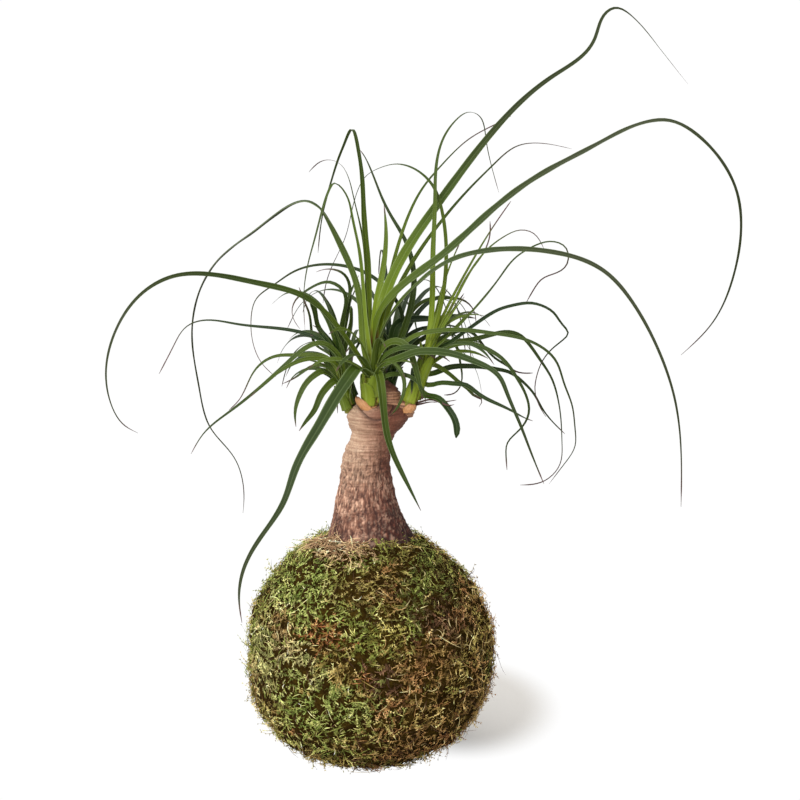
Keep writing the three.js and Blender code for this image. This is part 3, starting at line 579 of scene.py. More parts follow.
@dataclass(frozen=True)
class Finish:
    """A finish: its gloss, how deep its relief is in metres, and the way from the shared effects to a
    material."""

    name: str = ""
    specular: float = 0.5
    depth: float = 0.0

    def paint(self, sheet: Sheet) -> Coat:
        """Makes the colour, roughness and relief. Each finish has its own way."""
        raise NotImplementedError

    def make(self, effects: SharedEffects) -> Material:
        """Builds the material.

        Args:
            effects: The shared node groups.

        Returns:
            The material.
        """
        material = bpy.data.materials.new(self.name)
        material.use_nodes = True
        sheet = Sheet(material.node_tree, effects)
        shader = sheet.tree.nodes["Principled BSDF"]
        coat = self.paint(sheet)
        sheet.feed(shader, {"Base Color": coat.colour, "Roughness": coat.roughness, **coat.extra})
        shader.inputs["Specular IOR Level"].default_value = self.specular
        if coat.relief is not None:
            bump = sheet.node("Bump", {"Height": coat.relief, "Distance": self.depth, "Strength": 1.0})
            sheet.feed(shader, {"Normal": bump.outputs[0]})
        return material


@dataclass(frozen=True)
class LeafFinish(Finish):
    """Living leaf: yellow-green at the foot, green along the blade, paler beneath, with fine veins and a dry
    tip."""

    name: str = "Living leaf"
    specular: float = 0.12
    depth: float = 0.00006
    light: Stops = (
        (0.0, srgb(168, 168, 80)), (0.06, srgb(140, 154, 44)), (0.14, srgb(124, 142, 34)),
        (0.32, srgb(88, 106, 18)), (0.6, srgb(54, 72, 12)), (0.85, srgb(44, 56, 16)), (1.0, srgb(40, 48, 22)))
    dark: Stops = (
        (0.0, srgb(92, 104, 30)), (0.05, srgb(46, 68, 16)), (0.14, srgb(21, 40, 15)), (0.5, srgb(30, 44, 18)),
        (0.8, srgb(36, 42, 18)), (1.0, srgb(42, 46, 28)))
    beneath: Colour = srgb(48, 66, 24)
    margin: Colour = srgb(134, 148, 104)
    dry: Colour = srgb(72, 52, 48)
    rust: Colour = srgb(104, 60, 34)
    cloud_tint: Colour = srgb(206, 214, 150)
    vein_tint: Colour = srgb(140, 150, 120)
    clouds: Pair = (70.0, 1.6)
    veins: Four = (6.0, 7.0, 40.0, 2.4)
    cloud_share: float = 0.28
    beneath_share: float = 0.35
    vein_share: float = 0.45
    margin_share: float = 0.34
    rib_share: float = 0.12
    roughness: Pair = (0.15, 0.42)

    def paint(self, sheet: Sheet) -> Coat:
        """Makes the leaf's colours and veins.

        Args:
            sheet: The material's tree.

        Returns:
            The coat.
        """
        reach, across, tone = (sheet.point_value(name) for name in ("reach", "across", "tone"))
        clouds = sheet.clouds(sheet.spot(), *self.clouds)
        run, count, shift, contrast = self.veins
        along, aside, turn = sheet.times(reach, run), sheet.times(across, count), sheet.times(tone, shift)
        veins = sheet.threads(along, aside, turn, contrast)
        edge = sheet.rise(sheet.size_of(across), 0.78, 1.0)
        rib = sheet.rise(sheet.size_of(across), 0.16, 0.02)
        base = sheet.mix(tone, sheet.ramp(reach, self.dark), sheet.ramp(reach, self.light))
        base = sheet.wash(sheet.times(clouds, self.cloud_share), base, self.cloud_tint)
        base = sheet.mix(sheet.times(sheet.point_value("beneath"), self.beneath_share), base, self.beneath)
        base = sheet.wash(sheet.times(veins, self.vein_share), base, self.vein_tint)
        base = sheet.mix(sheet.times(edge, self.margin_share), base, self.margin)
        base = sheet.mix(sheet.times(rib, self.rib_share), base, self.margin)
        base = sheet.mix(sheet.ragged(sheet.point_value("rust"), 0.5, 0.5, clouds), base, self.rust)
        base = sheet.mix(sheet.ragged(sheet.point_value("dry"), 0.5, 0.6, clouds), base, self.dry)
        return Coat(base, sheet.times(clouds, *self.roughness), veins)


@dataclass(frozen=True)
class BarkFinish(Finish):
    """Bark: pale tan and finely ringed above, red-brown and fibrous below, redder and with painted shade on
    the right and in its cracks.
    """

    name: str = "Scarred bark"
    specular: float = 0.3
    depth: float = 0.0005
    ringed: Stops = (
        (0.0, srgb(98, 70, 55)), (0.3, srgb(150, 118, 96)), (0.6, srgb(174, 143, 118)),
        (1.0, srgb(206, 180, 154)))
    fibrous: Stops = (
        (0.0, srgb(46, 27, 21)), (0.3, srgb(88, 56, 45)), (0.58, srgb(136, 94, 74)),
        (1.0, srgb(228, 188, 160)))
    ruddy_side_shade: Colour = srgb(140, 82, 66)
    crack_shade: Colour = srgb(50, 29, 24)
    fresh: Colour = srgb(206, 154, 118)
    darker_below_tint: Colour = srgb(144, 114, 104)
    change: Pair = (0.146, 0.182)
    darker_below: Pair = (0.158, 0.124)
    shaded: Pair = (-0.002, 0.018)
    clouds: Pair = (150.0, 1.7)
    broad_clouds: Pair = (30.0, 2.0)
    upright: Triple = (150.0, 760.0, 2.7)
    level: Triple = (90.0, 1050.0, 2.6)
    drift_up: float = 0.03
    drift_aside: float = 0.014
    ruddy_side_shade_share: float = 0.9
    flake_share: float = 0.4
    crack_shade_share: float = 0.8
    roughness: Pair = (-0.3, 0.8)

    def paint(self, sheet: Sheet) -> Coat:
        """Makes the bark's colours and fibres.

        Args:
            sheet: The material's tree.

        Returns:
            The coat.
        """
        spot = sheet.spot()
        x, y, z = sheet.node("SeparateXYZ", {0: spot}).outputs
        clouds, broad = sheet.clouds(spot, *self.clouds), sheet.clouds(spot, *self.broad_clouds)
        run, count, contrast = self.upright
        upright = sheet.threads(sheet.times(z, run), sheet.times(x, count), sheet.times(y, count), contrast)
        run, count, contrast = self.level
        level = sheet.threads(sheet.times(x, run), sheet.times(z, count), sheet.times(y, run), contrast)
        lower = sheet.ramp(sheet.times(clouds, 0.34, sheet.times(upright, 0.68)), self.fibrous)
        upper = sheet.ramp(sheet.times(clouds, 0.5, sheet.times(level, 0.55)), self.ringed)
        height = sheet.times(broad, self.drift_up, z)
        # painted side shade: the ruddy wash on the right side is partly a redder bark and partly painted
        # shade away from the light
        side = sheet.rise(sheet.times(broad, self.drift_aside, x), *self.shaded)
        base = sheet.mix(sheet.rise(height, *self.change), lower, upper)
        base = sheet.wash(sheet.times(side, self.ruddy_side_shade_share), base, self.ruddy_side_shade)
        # darker towards the foot of the trunk
        base = sheet.wash(sheet.rise(height, *self.darker_below), base, self.darker_below_tint)
        flakes = sheet.times(sheet.point_value("flake"), sheet.times(clouds, self.flake_share))
        base = sheet.mix(flakes, base, self.fibrous[-1][1])
        base = sheet.mix(sheet.point_value("fresh"), base, sheet.mix(level, self.fresh, self.ringed[0][1]))
        # painted shade: the bark is darkened in its cracks, wrinkle troughs and scar groove
        base = sheet.mix(sheet.times(sheet.point_value("groove"), self.crack_shade_share), base, self.crack_shade)
        relief = sheet.maths("ADD", sheet.times(upright, 0.6), sheet.times(level, 0.4))
        return Coat(base, sheet.times(sheet.point_value("fresh"), *self.roughness), relief)


@dataclass(frozen=True)
class SheathFinish(Finish):
    """Dry papery sheath round the foot of a shoot: orange-tan with fine fibres and a browned rim."""

    name: str = "Papery sheath"
    depth: float = 0.0001
    body: Colour = srgb(154, 98, 54)
    pale: Colour = srgb(190, 142, 94)
    rim: Colour = srgb(100, 56, 34)
    clouds: Pair = (220.0, 1.8)
    fibres: Triple = (3.0, 9.0, 2.2)
    rim_edge: Pair = (0.93, 0.3)
    roughness: float = 0.55

    def paint(self, sheet: Sheet) -> Coat:
        """Makes the sheath's fibres and its browned rim.

        Args:
            sheet: The material's tree.

        Returns:
            The coat.
        """
        share, across = sheet.point_value("share"), sheet.point_value("across")
        run, count, contrast = self.fibres
        fibres = sheet.threads(sheet.times(share, run), sheet.times(across, count), 0.0, contrast)
        clouds = sheet.clouds(sheet.spot(), *self.clouds)
        outermost = sheet.maths("MAXIMUM", share, sheet.size_of(across))
        worn = sheet.ragged(outermost, *self.rim_edge, clouds)
        base = sheet.mix(fibres, self.body, self.pale)
        return Coat(sheet.mix(worn, base, self.rim), self.roughness, fibres)


@dataclass(frozen=True)
class FrondFinish(Finish):
    """Moss frond: each strand has its own tint, mottled along it."""

    name: str = "Moss frond"
    specular: float = 0.12
    depth: float = 0.0001
    mottled: Colour = srgb(196, 200, 150)
    fine: Pair = (900.0, 2.4)
    mottle_share: float = 0.5
    roughness: Pair = (0.25, 0.45)

    def paint(self, sheet: Sheet) -> Coat:
        """Makes the frond's mottled tint.

        Args:
            sheet: The material's tree.

        Returns:
            The coat.
        """
        fine = sheet.clouds(sheet.spot(), *self.fine)
        tint = sheet.point_value("tint", "Color")
        base = sheet.wash(sheet.times(fine, self.mottle_share), tint, self.mottled)
        return Coat(base, sheet.times(fine, *self.roughness), fine)


@dataclass(frozen=True)
class CrumbFinish(Finish):
    """A crumbly ground of two colours, with coarse and fine clouds in it."""

    dark: Colour = BLACK
    pale: Colour = WHITE
    coarse: Pair = (0.0, 0.0)
    fine: Pair = (0.0, 0.0)
    finely_raised: bool = False
    roughness: float = 0.95

    def paint(self, sheet: Sheet) -> Coat:
        """Makes the ground's two colours and its crumbs.

        Args:
            sheet: The material's tree.

        Returns:
            The coat.
        """
        spot = sheet.spot()
        coarse, fine = sheet.clouds(spot, *self.coarse), sheet.clouds(spot, *self.fine)
        base = sheet.mix(sheet.times(coarse, fine), self.dark, self.pale)
        return Coat(base, self.roughness, fine if self.finely_raised else coarse)


@dataclass(frozen=True)
class BedFinish(CrumbFinish):
    """The dark mat of old moss and soil between the fronds, kept very dark as painted shade in the gaps."""

    name: str = "Moss bed"
    specular: float = 0.04
    depth: float = 0.0012
    # very dark: partly old moss and soil, partly painted shade in the gaps between the fronds
    dark: Colour = srgb(36, 21, 3)
    pale: Colour = srgb(82, 66, 18)
    coarse: Pair = (160.0, 2.4)
    fine: Pair = (900.0, 2.6)
    finely_raised: bool = True


@dataclass(frozen=True)
class SoilFinish(CrumbFinish):
    """Damp potting soil, in crumbs."""

    name: str = "Crumbly soil"
    depth: float = 0.0015
    dark: Colour = srgb(44, 30, 20)
    pale: Colour = srgb(92, 68, 48)
    coarse: Pair = (320.0, 3.0)
    fine: Pair = (1400.0, 2.0)


@dataclass(frozen=True)
class FloorFinish(Finish):
    """Matt white studio surface that glows for the camera: a painted glow lifts the soft shadow round the
    plant, and it turns plain white away from it."""

    name: str = "White surface"
    specular: float = 0.0
    white: Colour = srgb(164, 160, 154)
    thrown: Colour = srgb(190, 187, 182)
    lift: float = 0.22
    far: float = 1.02
    fade: Pair = (0.03, 0.057)
    stretch: Triple = (1.0, 0.6, 1.0)
    heart: Triple = (0.052, 0.048, 0.0)
    roughness: float = 0.8

    def paint(self, sheet: Sheet) -> Coat:
        """Makes the surface's shade near the plant and its glow away from it.

        Args:
            sheet: The material's tree.

        Returns:
            The coat.
        """
        squeezed = sheet.node("VectorMath", {0: sheet.spot(), 1: self.stretch}, operation="MULTIPLY")
        away = sheet.node("VectorMath", {0: squeezed.outputs[0], 1: self.heart}, operation="DISTANCE")
        share = sheet.rise(away.outputs["Value"], *self.fade)
        direct = sheet.node("LightPath").outputs["Is Camera Ray"]
        shown = sheet.mix(share, self.white, BLACK)
        # painted light: a glow seen only by the camera lifts the shadow near the plant and turns the floor
        # plain white farther out
        glow = sheet.times(direct, sheet.times(share, self.far - self.lift, self.lift))
        extra = {"Emission Color": WHITE, "Emission Strength": glow}
        return Coat(sheet.mix(direct, self.thrown, shown), self.roughness, None, extra)


# Leaves

@dataclass(frozen=True)
class Viewer:
    """Where the plant is seen from. Leaf lines are drawn on an upright plane through the trunk, across and up
    from the foot of the ball, and are moved along the line of sight to their own depth."""

    distance: float = 950.0
    elevation: float = 9.5
    across: float = 15.0
    aim: float = 185.2
    drop: float = 177.0

    @property
    def tilt(self) -> float:
        """How far down the viewer looks, in radians."""
        return math.radians(self.elevation)

    @property
    def eye(self) -> Array:
        """The viewer's place."""
        back, up = self.distance * math.cos(self.tilt), self.distance * math.sin(self.tilt)
        return np.array([self.across, -back, self.aim + up])

    def seen(self, across: float, up: float, depth: float) -> Array:
        """A point of the drawing plane, moved along the line of sight.

        Args:
            across: Its place across the plane.
            up: Its height on the plane.
            depth: The depth that it is moved to.

        Returns:
            The point in space.
        """
        rise = up - self.drop
        on_plane = np.array([across, rise * math.sin(self.tilt), self.aim + rise * math.cos(self.tilt)])
        sight = on_plane - self.eye
        return self.eye + sight * ((depth - self.eye[1]) / sight[1])


VIEWER = Viewer()


class Shoot(Enum):
    """The five shoots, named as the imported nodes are."""

    FRONT = "shoot_front"
    RIGHT = "shoot_right"
    LEFT = "shoot_left"
    BACK = "shoot_back"
    BACK_LEFT = "shoot_back_left"


@dataclass(frozen=True)
class Stem:
    """A shoot's short stem: its line across, up and in depth, its radius at foot, middle and head, and its
    look."""

    line: tuple[Triple, ...]
    radii: Triple
    tone: float
    sheaths: int

    @property
    def curve(self) -> Spline:
        """The middle line."""
        return Spline(np.array([VIEWER.seen(*point) for point in self.line]))

    def radius(self, shares: Array) -> Array:
        """The radius at shares of its length."""
        return np.interp(shares, (0.0, 0.5, 1.0), self.radii)


STEMS = {
    Shoot.FRONT: Stem(((0.5, 173, -6), (1, 184, -6.5), (1.5, 197, -6)), (3.2, 4.2, 2.4), 0.85, 9),
    Shoot.RIGHT: Stem(
        ((19.5, 173, -1), (22, 181, -1), (27, 194, -1), (30.5, 207, 0)), (3.4, 2.5, 1.7), 0.7, 8),
    Shoot.LEFT: Stem(((-10, 171, -1), (-12.5, 179, -1), (-15, 189, -1)), (2.5, 2, 1.4), 0.45, 7),
    Shoot.BACK: Stem(((8, 175, 9), (10, 188, 10), (13, 203, 10)), (2.6, 2.1, 1.6), 0.1, 6),
    Shoot.BACK_LEFT: Stem(((-7, 173, 8), (-12, 187, 9), (-16, 201, 9)), (2.6, 2.1, 1.6), 0.15, 6),
}


@dataclass(frozen=True)
class Leaf:
    """One leaf that the front view shows. root is how far up the stem it leaves it, lean the depth gained for
    each millimetre sideways, away the extra depth at the tip, roll the turn of the blade about its own line
    in degrees, and turning the roll that it gains past its bend. Each point of the line is across and up,
    with a depth where one is needed."""

    shoot: Shoot
    root: float
    width: float
    lean: float
    away: float
    roll: float
    line: tuple[tuple[float, ...], ...]
    blunt: bool = False
    tone: float | None = None
    dry: float = 0.06
    rust: float = 0.0
    turning: float = 0.0


LEAVES = (
    Leaf(Shoot.FRONT, 0.5, 5.4, 0.5, 0, 48, ((7.5, 229.5), (34.5, 276), (62, 312), (91.5, 339), (112.5, 358),
        (117, 369.5), (122, 373), (131.5, 368.5), (144, 354), (159, 335))),
    Leaf(Shoot.FRONT, 0.55, 5.8, -0.28, 0, 42, ((5, 221.5), (34.5, 248.5), (58, 269.5), (83, 288.5),
        (112.5, 304.5), (140, 316.5), (148.5, 317), (165, 308.5), (175.5, 297), (183, 282.5), (185.5, 261.5),
        (182, 240), (171.5, 216), (155.5, 199.5)), tone=0.55),
    Leaf(Shoot.FRONT, 0.7, 4.4, -0.72, 0, 40, ((5, 210), (20, 232), (39, 246.5), (60, 252), (91.5, 251),
        (119, 240), (131.5, 225.5), (144, 202.5), (152.5, 177), (155.5, 152), (155.5, 123.5)), tone=0.28),
    Leaf(Shoot.FRONT, 0.6, 4.8, 0.8, 0, -105, ((-3, 202.5), (-5.5, 229.5), (-16, 257), (-28.5, 275),
        (-56, 262.5), (-77, 245.5), (-85, 232), (-89, 208.5), (-85.5, 183.5), (-80, 163.5), (-67.5, 147.5),
        (-63, 128.5), (-63.5, 120.5)), tone=0.45, turning=-80),
    Leaf(Shoot.FRONT, 0.65, 4.2, -0.5, 0, -50, ((-14, 211), (-30.5, 227.5), (-56, 235.5), (-81, 240),
        (-98, 239), (-115, 229.5), (-127.5, 211), (-132, 192), (-129.5, 175), (-123, 164.5),
        (-116, 160.5)), tone=0.3),
    Leaf(Shoot.FRONT, 0.75, 7, -0.5, -46, -15, ((-2, 192.5, -11), (-5.5, 194, -14), (-9.5, 190, -18),
        (-14, 183.5, -22), (-26.5, 162.5), (-37, 143.5), (-43, 126.5), (-53.5, 110), (-63, 93), (-65.5, 78),
        (-64, 65.5)), tone=0.05),
    Leaf(Shoot.FRONT, 0.7, 4.8, 0, 0, 8, ((4, 191, -14), (6, 181.5, -20), (7, 171, -22), (9.5, 156, -22.5),
        (15.5, 141.5, -25), (22, 128.5, -30), (25.5, 121.5, -33)), tone=0.25),
    Leaf(Shoot.FRONT, 0.8, 4.6, -0.6, -6, 50, ((8.5, 196, -12), (15.7, 198.5, -17), (21.8, 200.8, -20),
        (31.8, 201.5), (42, 200), (52, 196.5), (60, 192.8), (65.3, 187.8), (68, 181.8), (71.3, 173.7),
        (75.3, 164.3), (80.7, 150.3), (87, 135)), tone=0.2),
    Leaf(Shoot.FRONT, 0.85, 2.8, -0.12, 0, 50, ((15.7, 204.5), (22, 209), (30, 211.2), (40, 212.2),
        (63, 210.2), (78.5, 207), (86.5, 203), (93, 196.5), (97, 185.5), (101, 174.5), (102.5, 163),
        (102.5, 154), (97.5, 145.5), (89.5, 135)), tone=0.25),
    Leaf(Shoot.FRONT, 0.8, 4.4, -0.32, 0, 58, ((6, 203), (10, 206), (13.5, 206.5), (17.5, 204.5), (21, 198.5),
        (23.3, 191), (25, 184), (26.5, 177)), tone=0.2),
    Leaf(Shoot.FRONT, 0.35, 2.8, -0.3, 0, 50, ((5, 187.5, -12), (9, 189.5, -13), (15, 190), (20.5, 188.5),
        (25, 184.5), (27, 180), (28, 175.5)), tone=0.2),
    Leaf(Shoot.FRONT, 0.5, 2.6, -0.3, -9, 50, ((11, 196), (14.5, 193), (16.8, 188), (17.2, 183), (16, 178),
        (13.5, 173), (9.5, 168.5)), tone=0.1),
    Leaf(Shoot.FRONT, 0.8, 2.2, 1.3, 0, 40, ((7.5, 227), (15.5, 259), (26, 282.5), (34.5, 293), (49.5, 307.5),
        (64, 315.5), (70.5, 319))),
    Leaf(Shoot.FRONT, 0.85, 2.4, 0.95, 0, 45, ((7.5, 217), (36.5, 267.5), (49.5, 282.5), (62, 295),
        (72.5, 303.5), (83, 305.5), (101, 302.5))),
    Leaf(Shoot.FRONT, 0.85, 4.4, 0, 48, 5, ((-0.5, 210), (-1, 241), (-3, 269.5), (-4, 289), (-6, 303),
        (-9, 312.5), (-12.5, 306), (-15.5, 298.5), (-19.5, 286), (-24, 268), (-26, 250.5)), tone=0.75),
    Leaf(Shoot.FRONT, 0.9, 4.4, 0, 14, 20, ((2.5, 216.5), (4, 229), (6, 239.5), (8, 262),
        (7, 274.5)), rust=0.9),
    Leaf(Shoot.FRONT, 0.9, 3.6, 0, -22, -5, ((-2, 217), (-4, 241), (-6, 255.5), (-9, 269.5), (-12.5, 281),
        (-18, 285.5), (-20.5, 282), (-23.5, 273.5), (-27, 260), (-31, 245), (-33, 231.5), (-32.5, 212))),
    Leaf(Shoot.FRONT, 0.95, 2.4, 0.5, 10, 10, ((-2, 242), (-4, 260), (-8, 277.5), (-15.5, 295.5),
        (-24, 296.5), (-30.5, 291))),
    Leaf(Shoot.BACK, 0.6, 2.2, 0.75, 0, -80, ((15, 223), (8.5, 232.5), (-1, 240), (-12.5, 244), (-27, 244.5),
        (-38.5, 241), (-49, 234), (-57.5, 226.5), (-59.5, 217), (-58.5, 205.5), (-54.5, 196), (-47, 188.5))),
    Leaf(Shoot.BACK, 0.7, 2.4, 0.55, 0, 78, ((22.5, 223), (27, 226.5), (34, 228), (40, 228), (45, 227.5),
        (50, 224.5), (52.5, 220), (53, 215))),
    Leaf(Shoot.BACK, 0.8, 5, 0.9, 0, 52, ((14, 215), (20.5, 217.5), (35, 218), (42.5, 219), (53, 217.8))),
    Leaf(Shoot.BACK, 0.9, 3.4, 0, 58, 0, ((22, 238), (18, 256), (11.5, 267.5), (6.5, 277), (2.5, 287),
        (-2, 297.5), (-5, 302))),
    Leaf(Shoot.RIGHT, 0.35, 3.3, -0.7, 0, 45, ((27.8, 179.5), (33, 178.5), (38.5, 173.5), (42.5, 167),
        (43.5, 161.5), (43, 158)), blunt=True, tone=0.0),
    Leaf(Shoot.RIGHT, 0.9, 2.4, 0.35, 0, 75, ((37, 205.5), (45, 206.5), (52, 207.5), (62, 210), (69.5, 211),
        (75.5, 209), (79.5, 205), (85.5, 196.5), (90.5, 188.5), (94, 177.5), (95.5, 167), (96, 155.5),
        (95, 145), (87, 136.5), (75, 134.5))),
    Leaf(Shoot.RIGHT, 0.6, 3, 0.5, 38, 15, ((30.5, 217), (31.5, 251), (32.5, 276), (33, 293), (36.5, 307.5),
        (43, 317), (49.5, 321), (55.5, 318), (58, 307.5), (61, 293), (64.5, 280.5))),
    Leaf(Shoot.RIGHT, 0.8, 2.2, 0, 84, -15, ((36, 227), (38, 255.5), (36, 271.5), (31.5, 284), (25.5, 290.5),
        (19, 294), (12, 295), (4.5, 293), (-2, 289), (-9, 272), (-12.5, 258), (-18.5, 245), (-22, 235),
        (-23.5, 225.5))),
    Leaf(Shoot.RIGHT, 0.85, 2.3, -0.1, 0, 50, ((38.5, 205), (45, 209.5), (52, 214.5), (58.5, 219),
        (65, 222.5), (72, 224.5), (80.5, 225.5), (86.5, 224), (92, 220.5), (96, 215), (99, 210), (97, 207.5),
        (91.5, 203), (86.5, 197), (83.5, 189.5), (82.5, 181.5), (84.5, 174.5), (88, 168.5))),
    Leaf(Shoot.RIGHT, 0.75, 2.6, -0.4, 0, 50, ((37, 202.5), (44, 205), (52, 205), (58.5, 202.5), (64.5, 199),
        (69.5, 194), (73.5, 188), (78.5, 178), (79.5, 171.5), (76, 163.5), (72, 159.5), (68.5, 155),
        (68, 149.5), (68.5, 142))),
    Leaf(Shoot.RIGHT, 0.4, 2.8, -0.22, 0, 50, ((30, 184.5), (34.5, 185.5), (42.5, 185.2), (48, 184.5),
        (53, 181), (58.5, 177.5), (65, 174.5), (72, 171), (77.5, 168), (81.5, 166.5))),
    Leaf(Shoot.RIGHT, 0.65, 2.4, 0.35, 0, 72, ((32.5, 194.5), (37, 192), (41, 189), (45, 185.5), (49, 182.5),
        (52.5, 179), (56, 177), (54.5, 173.5))),
    Leaf(Shoot.RIGHT, 0.5, 2.8, 0.65, 0, 80, ((32, 190.5), (38.5, 193), (48, 194), (57, 193.5), (63, 192.5),
        (69.5, 191), (76, 186.5), (82, 180), (86, 173), (90.5, 167), (97.5, 160))),
    Leaf(Shoot.RIGHT, 0.9, 2.2, 1, 0, 84, ((36, 206), (41, 206), (44, 202), (45, 196.5), (46, 190),
        (45, 183.5), (43, 181), (37, 179.5))),
    Leaf(Shoot.RIGHT, 0.95, 2.2, 0.8, 0, 80, ((40, 210), (47, 212), (52, 210), (55, 206.5), (58.5, 202),
        (62.5, 198), (68, 194.5), (72.5, 191.5), (81.5, 190.5))),
    Leaf(Shoot.RIGHT, 0.8, 2, -0.55, 0, 52, ((34, 204.5), (40, 210), (52, 222.5), (65, 238.5), (72, 247.5),
        (80, 253), (93, 256), (98, 253), (98.5, 245), (93, 240.5), (86, 237.5), (82, 232.5), (78, 225.5))),
    Leaf(Shoot.RIGHT, 0.9, 1.6, 0.1, 0, 50, ((42.5, 227), (54, 247), (60.5, 254), (67.5, 259), (75.5, 262),
        (81.5, 260.5), (87, 252.5))),
    Leaf(Shoot.RIGHT, 0.95, 1.6, 0.45, 0, 50, ((35, 216), (50, 244.5), (60.5, 262), (70.5, 276.5))),
    Leaf(Shoot.RIGHT, 0.9, 1.5, 1.1, 0, 50, ((40, 222), (49.5, 240.5), (57.5, 252), (60, 260), (60, 266.5))),
    Leaf(Shoot.LEFT, 0.6, 3.2, -0.15, 0, -52, ((-16.5, 200.5), (-19, 203), (-23.5, 205.5), (-29.5, 204.5),
        (-37, 199.5), (-42.5, 194.5), (-56, 182.5), (-70.5, 171), (-83, 160.5), (-89.5, 150)), tone=0.3),
    Leaf(Shoot.LEFT, 0.75, 2.8, -0.5, 0, -52, ((-18, 196), (-22.5, 197.5), (-35.5, 196.5), (-42.5, 193),
        (-51, 187), (-60, 178.5)), tone=0.2),
    Leaf(Shoot.LEFT, 0.85, 2.2, 0.5, 0, -76, ((-20, 197), (-36.5, 199.5), (-47, 199), (-57.5, 192),
        (-65.5, 177), (-70.5, 172)), tone=0.25),
    Leaf(Shoot.LEFT, 0.6, 3.6, -0.5, 0, -50, ((-20, 190.5), (-24, 191.5), (-27, 190), (-31.5, 186),
        (-35, 180), (-37, 174), (-37.5, 170), (-37, 163.5)), tone=0.08),
    Leaf(Shoot.LEFT, 0.4, 4, -0.9, 0, -50, ((-17, 187), (-21.5, 183.5), (-25, 178.5), (-27.5, 172.5),
        (-31.5, 167), (-35.5, 161.5)), tone=0.1),
    Leaf(Shoot.LEFT, 0.7, 2.4, 0.2, 0, -50, ((-20, 193), (-24, 194.5), (-28.5, 194), (-33, 191.5),
        (-37, 188.5), (-44, 185)), tone=0.2),
    Leaf(Shoot.BACK_LEFT, 0.7, 2, 0.3, 0, -68, ((-22, 205), (-35, 211), (-47.5, 213), (-66.5, 215),
        (-85.5, 216.5), (-92, 213.5), (-98, 204.5), (-105.5, 190))),
    Leaf(Shoot.BACK_LEFT, 0.9, 2.4, 0.25, 0, -50, ((-13.5, 218), (-13, 231), (-20.5, 236), (-27, 234.5),
        (-33.5, 230.5), (-37.5, 226.5), (-39, 221), (-37.5, 216), (-35, 212.5))),
    Leaf(Shoot.BACK_LEFT, 0.95, 2.2, 0.9, 0, -50, ((-11, 222), (-11, 237), (-14.5, 241), (-20.5, 242.5),
        (-27, 241))),
    Leaf(Shoot.BACK_LEFT, 0.8, 3.8, 0, -4, 0, ((-11, 209), (-9.5, 216), (-9.5, 224)), blunt=True),
    Leaf(Shoot.BACK_LEFT, 0.6, 4.4, 0.6, 0, -10, ((-18, 197), (-20, 205.5), (-23, 209.5), (-26, 214),
        (-27.5, 221), (-30, 229)), blunt=True),
    Leaf(Shoot.BACK_LEFT, 0.7, 2.2, 1, 0, -10, ((-20, 200), (-28, 206), (-29.5, 214), (-30.5, 220.5),
        (-32.5, 225.5), (-35.5, 233.5))),
    Leaf(Shoot.BACK_LEFT, 0.8, 2.8, 0, 8, 0, ((-14.5, 206), (-13, 216.5), (-11.5, 225.5), (-9.5, 231.5),
        (-5.5, 239.5))),
)

REMNANTS = (
    Leaf(Shoot.RIGHT, 0.12, 1.6, -0.5, 0, 40, ((23.5, 177.2), (27.5, 178.6), (31.5, 178), (35.7, 176.3),
        (39.5, 176.4), (43.3, 177)), dry=2.0),
    Leaf(Shoot.RIGHT, 0.08, 1.4, -0.6, 0, 40, ((23, 175.6), (27, 176.6), (31, 177.2), (36, 175.4),
        (40.4, 174.3), (42.2, 174.8)), dry=2.0),
    Leaf(Shoot.RIGHT, 0.05, 1.2, -0.7, 0, 40, ((22.9, 174.6), (27, 175.4), (31.5, 176),
        (33.5, 175.8)), dry=2.0),
)


@dataclass(frozen=True)
class Spray:
    """Leaves grown by rule, for the sides that the front view hides. start and end are the compass turns that
    they spread over in degrees, and aside is the furthest that they may reach sideways."""

    shoot: Shoot
    count: int
    start: float
    end: float
    length: Pair
    rise: Pair
    fall: float
    aside: float
    width: Pair
    seed: int


SPRAYS = (
    Spray(Shoot.BACK, 12, 28, 122, (85, 170), (32, 76), 122, 44, (2.2, 3.8), 11),
    Spray(Shoot.BACK_LEFT, 10, 84, 172, (75, 130), (34, 74), 114, 30, (2.2, 3.8), 23),
    Spray(Shoot.RIGHT, 6, -50, 60, (45, 80), (48, 78), 96, 30, (2, 3.2), 37),
    Spray(Shoot.LEFT, 5, 150, 235, (30, 52), (58, 84), 50, 15, (1.8, 3), 41),
    Spray(Shoot.FRONT, 7, -170, -10, (34, 62), (52, 76), 96, 26, (2.2, 3.8), 53),
    Spray(Shoot.BACK, 11, -150, -20, (30, 62), (46, 76), 108, 28, (2.6, 3.8), 61),
    Spray(Shoot.BACK_LEFT, 8, 170, 262, (34, 62), (60, 84), 45, 16, (1.8, 3), 67),
    Spray(Shoot.RIGHT, 7, -20, 50, (44, 80), (58, 82), 18, 30, (1.2, 1.7), 71),
    Spray(Shoot.RIGHT, 4, 160, 280, (26, 50), (50, 76), 112, 22, (2.4, 3.4), 83),
)


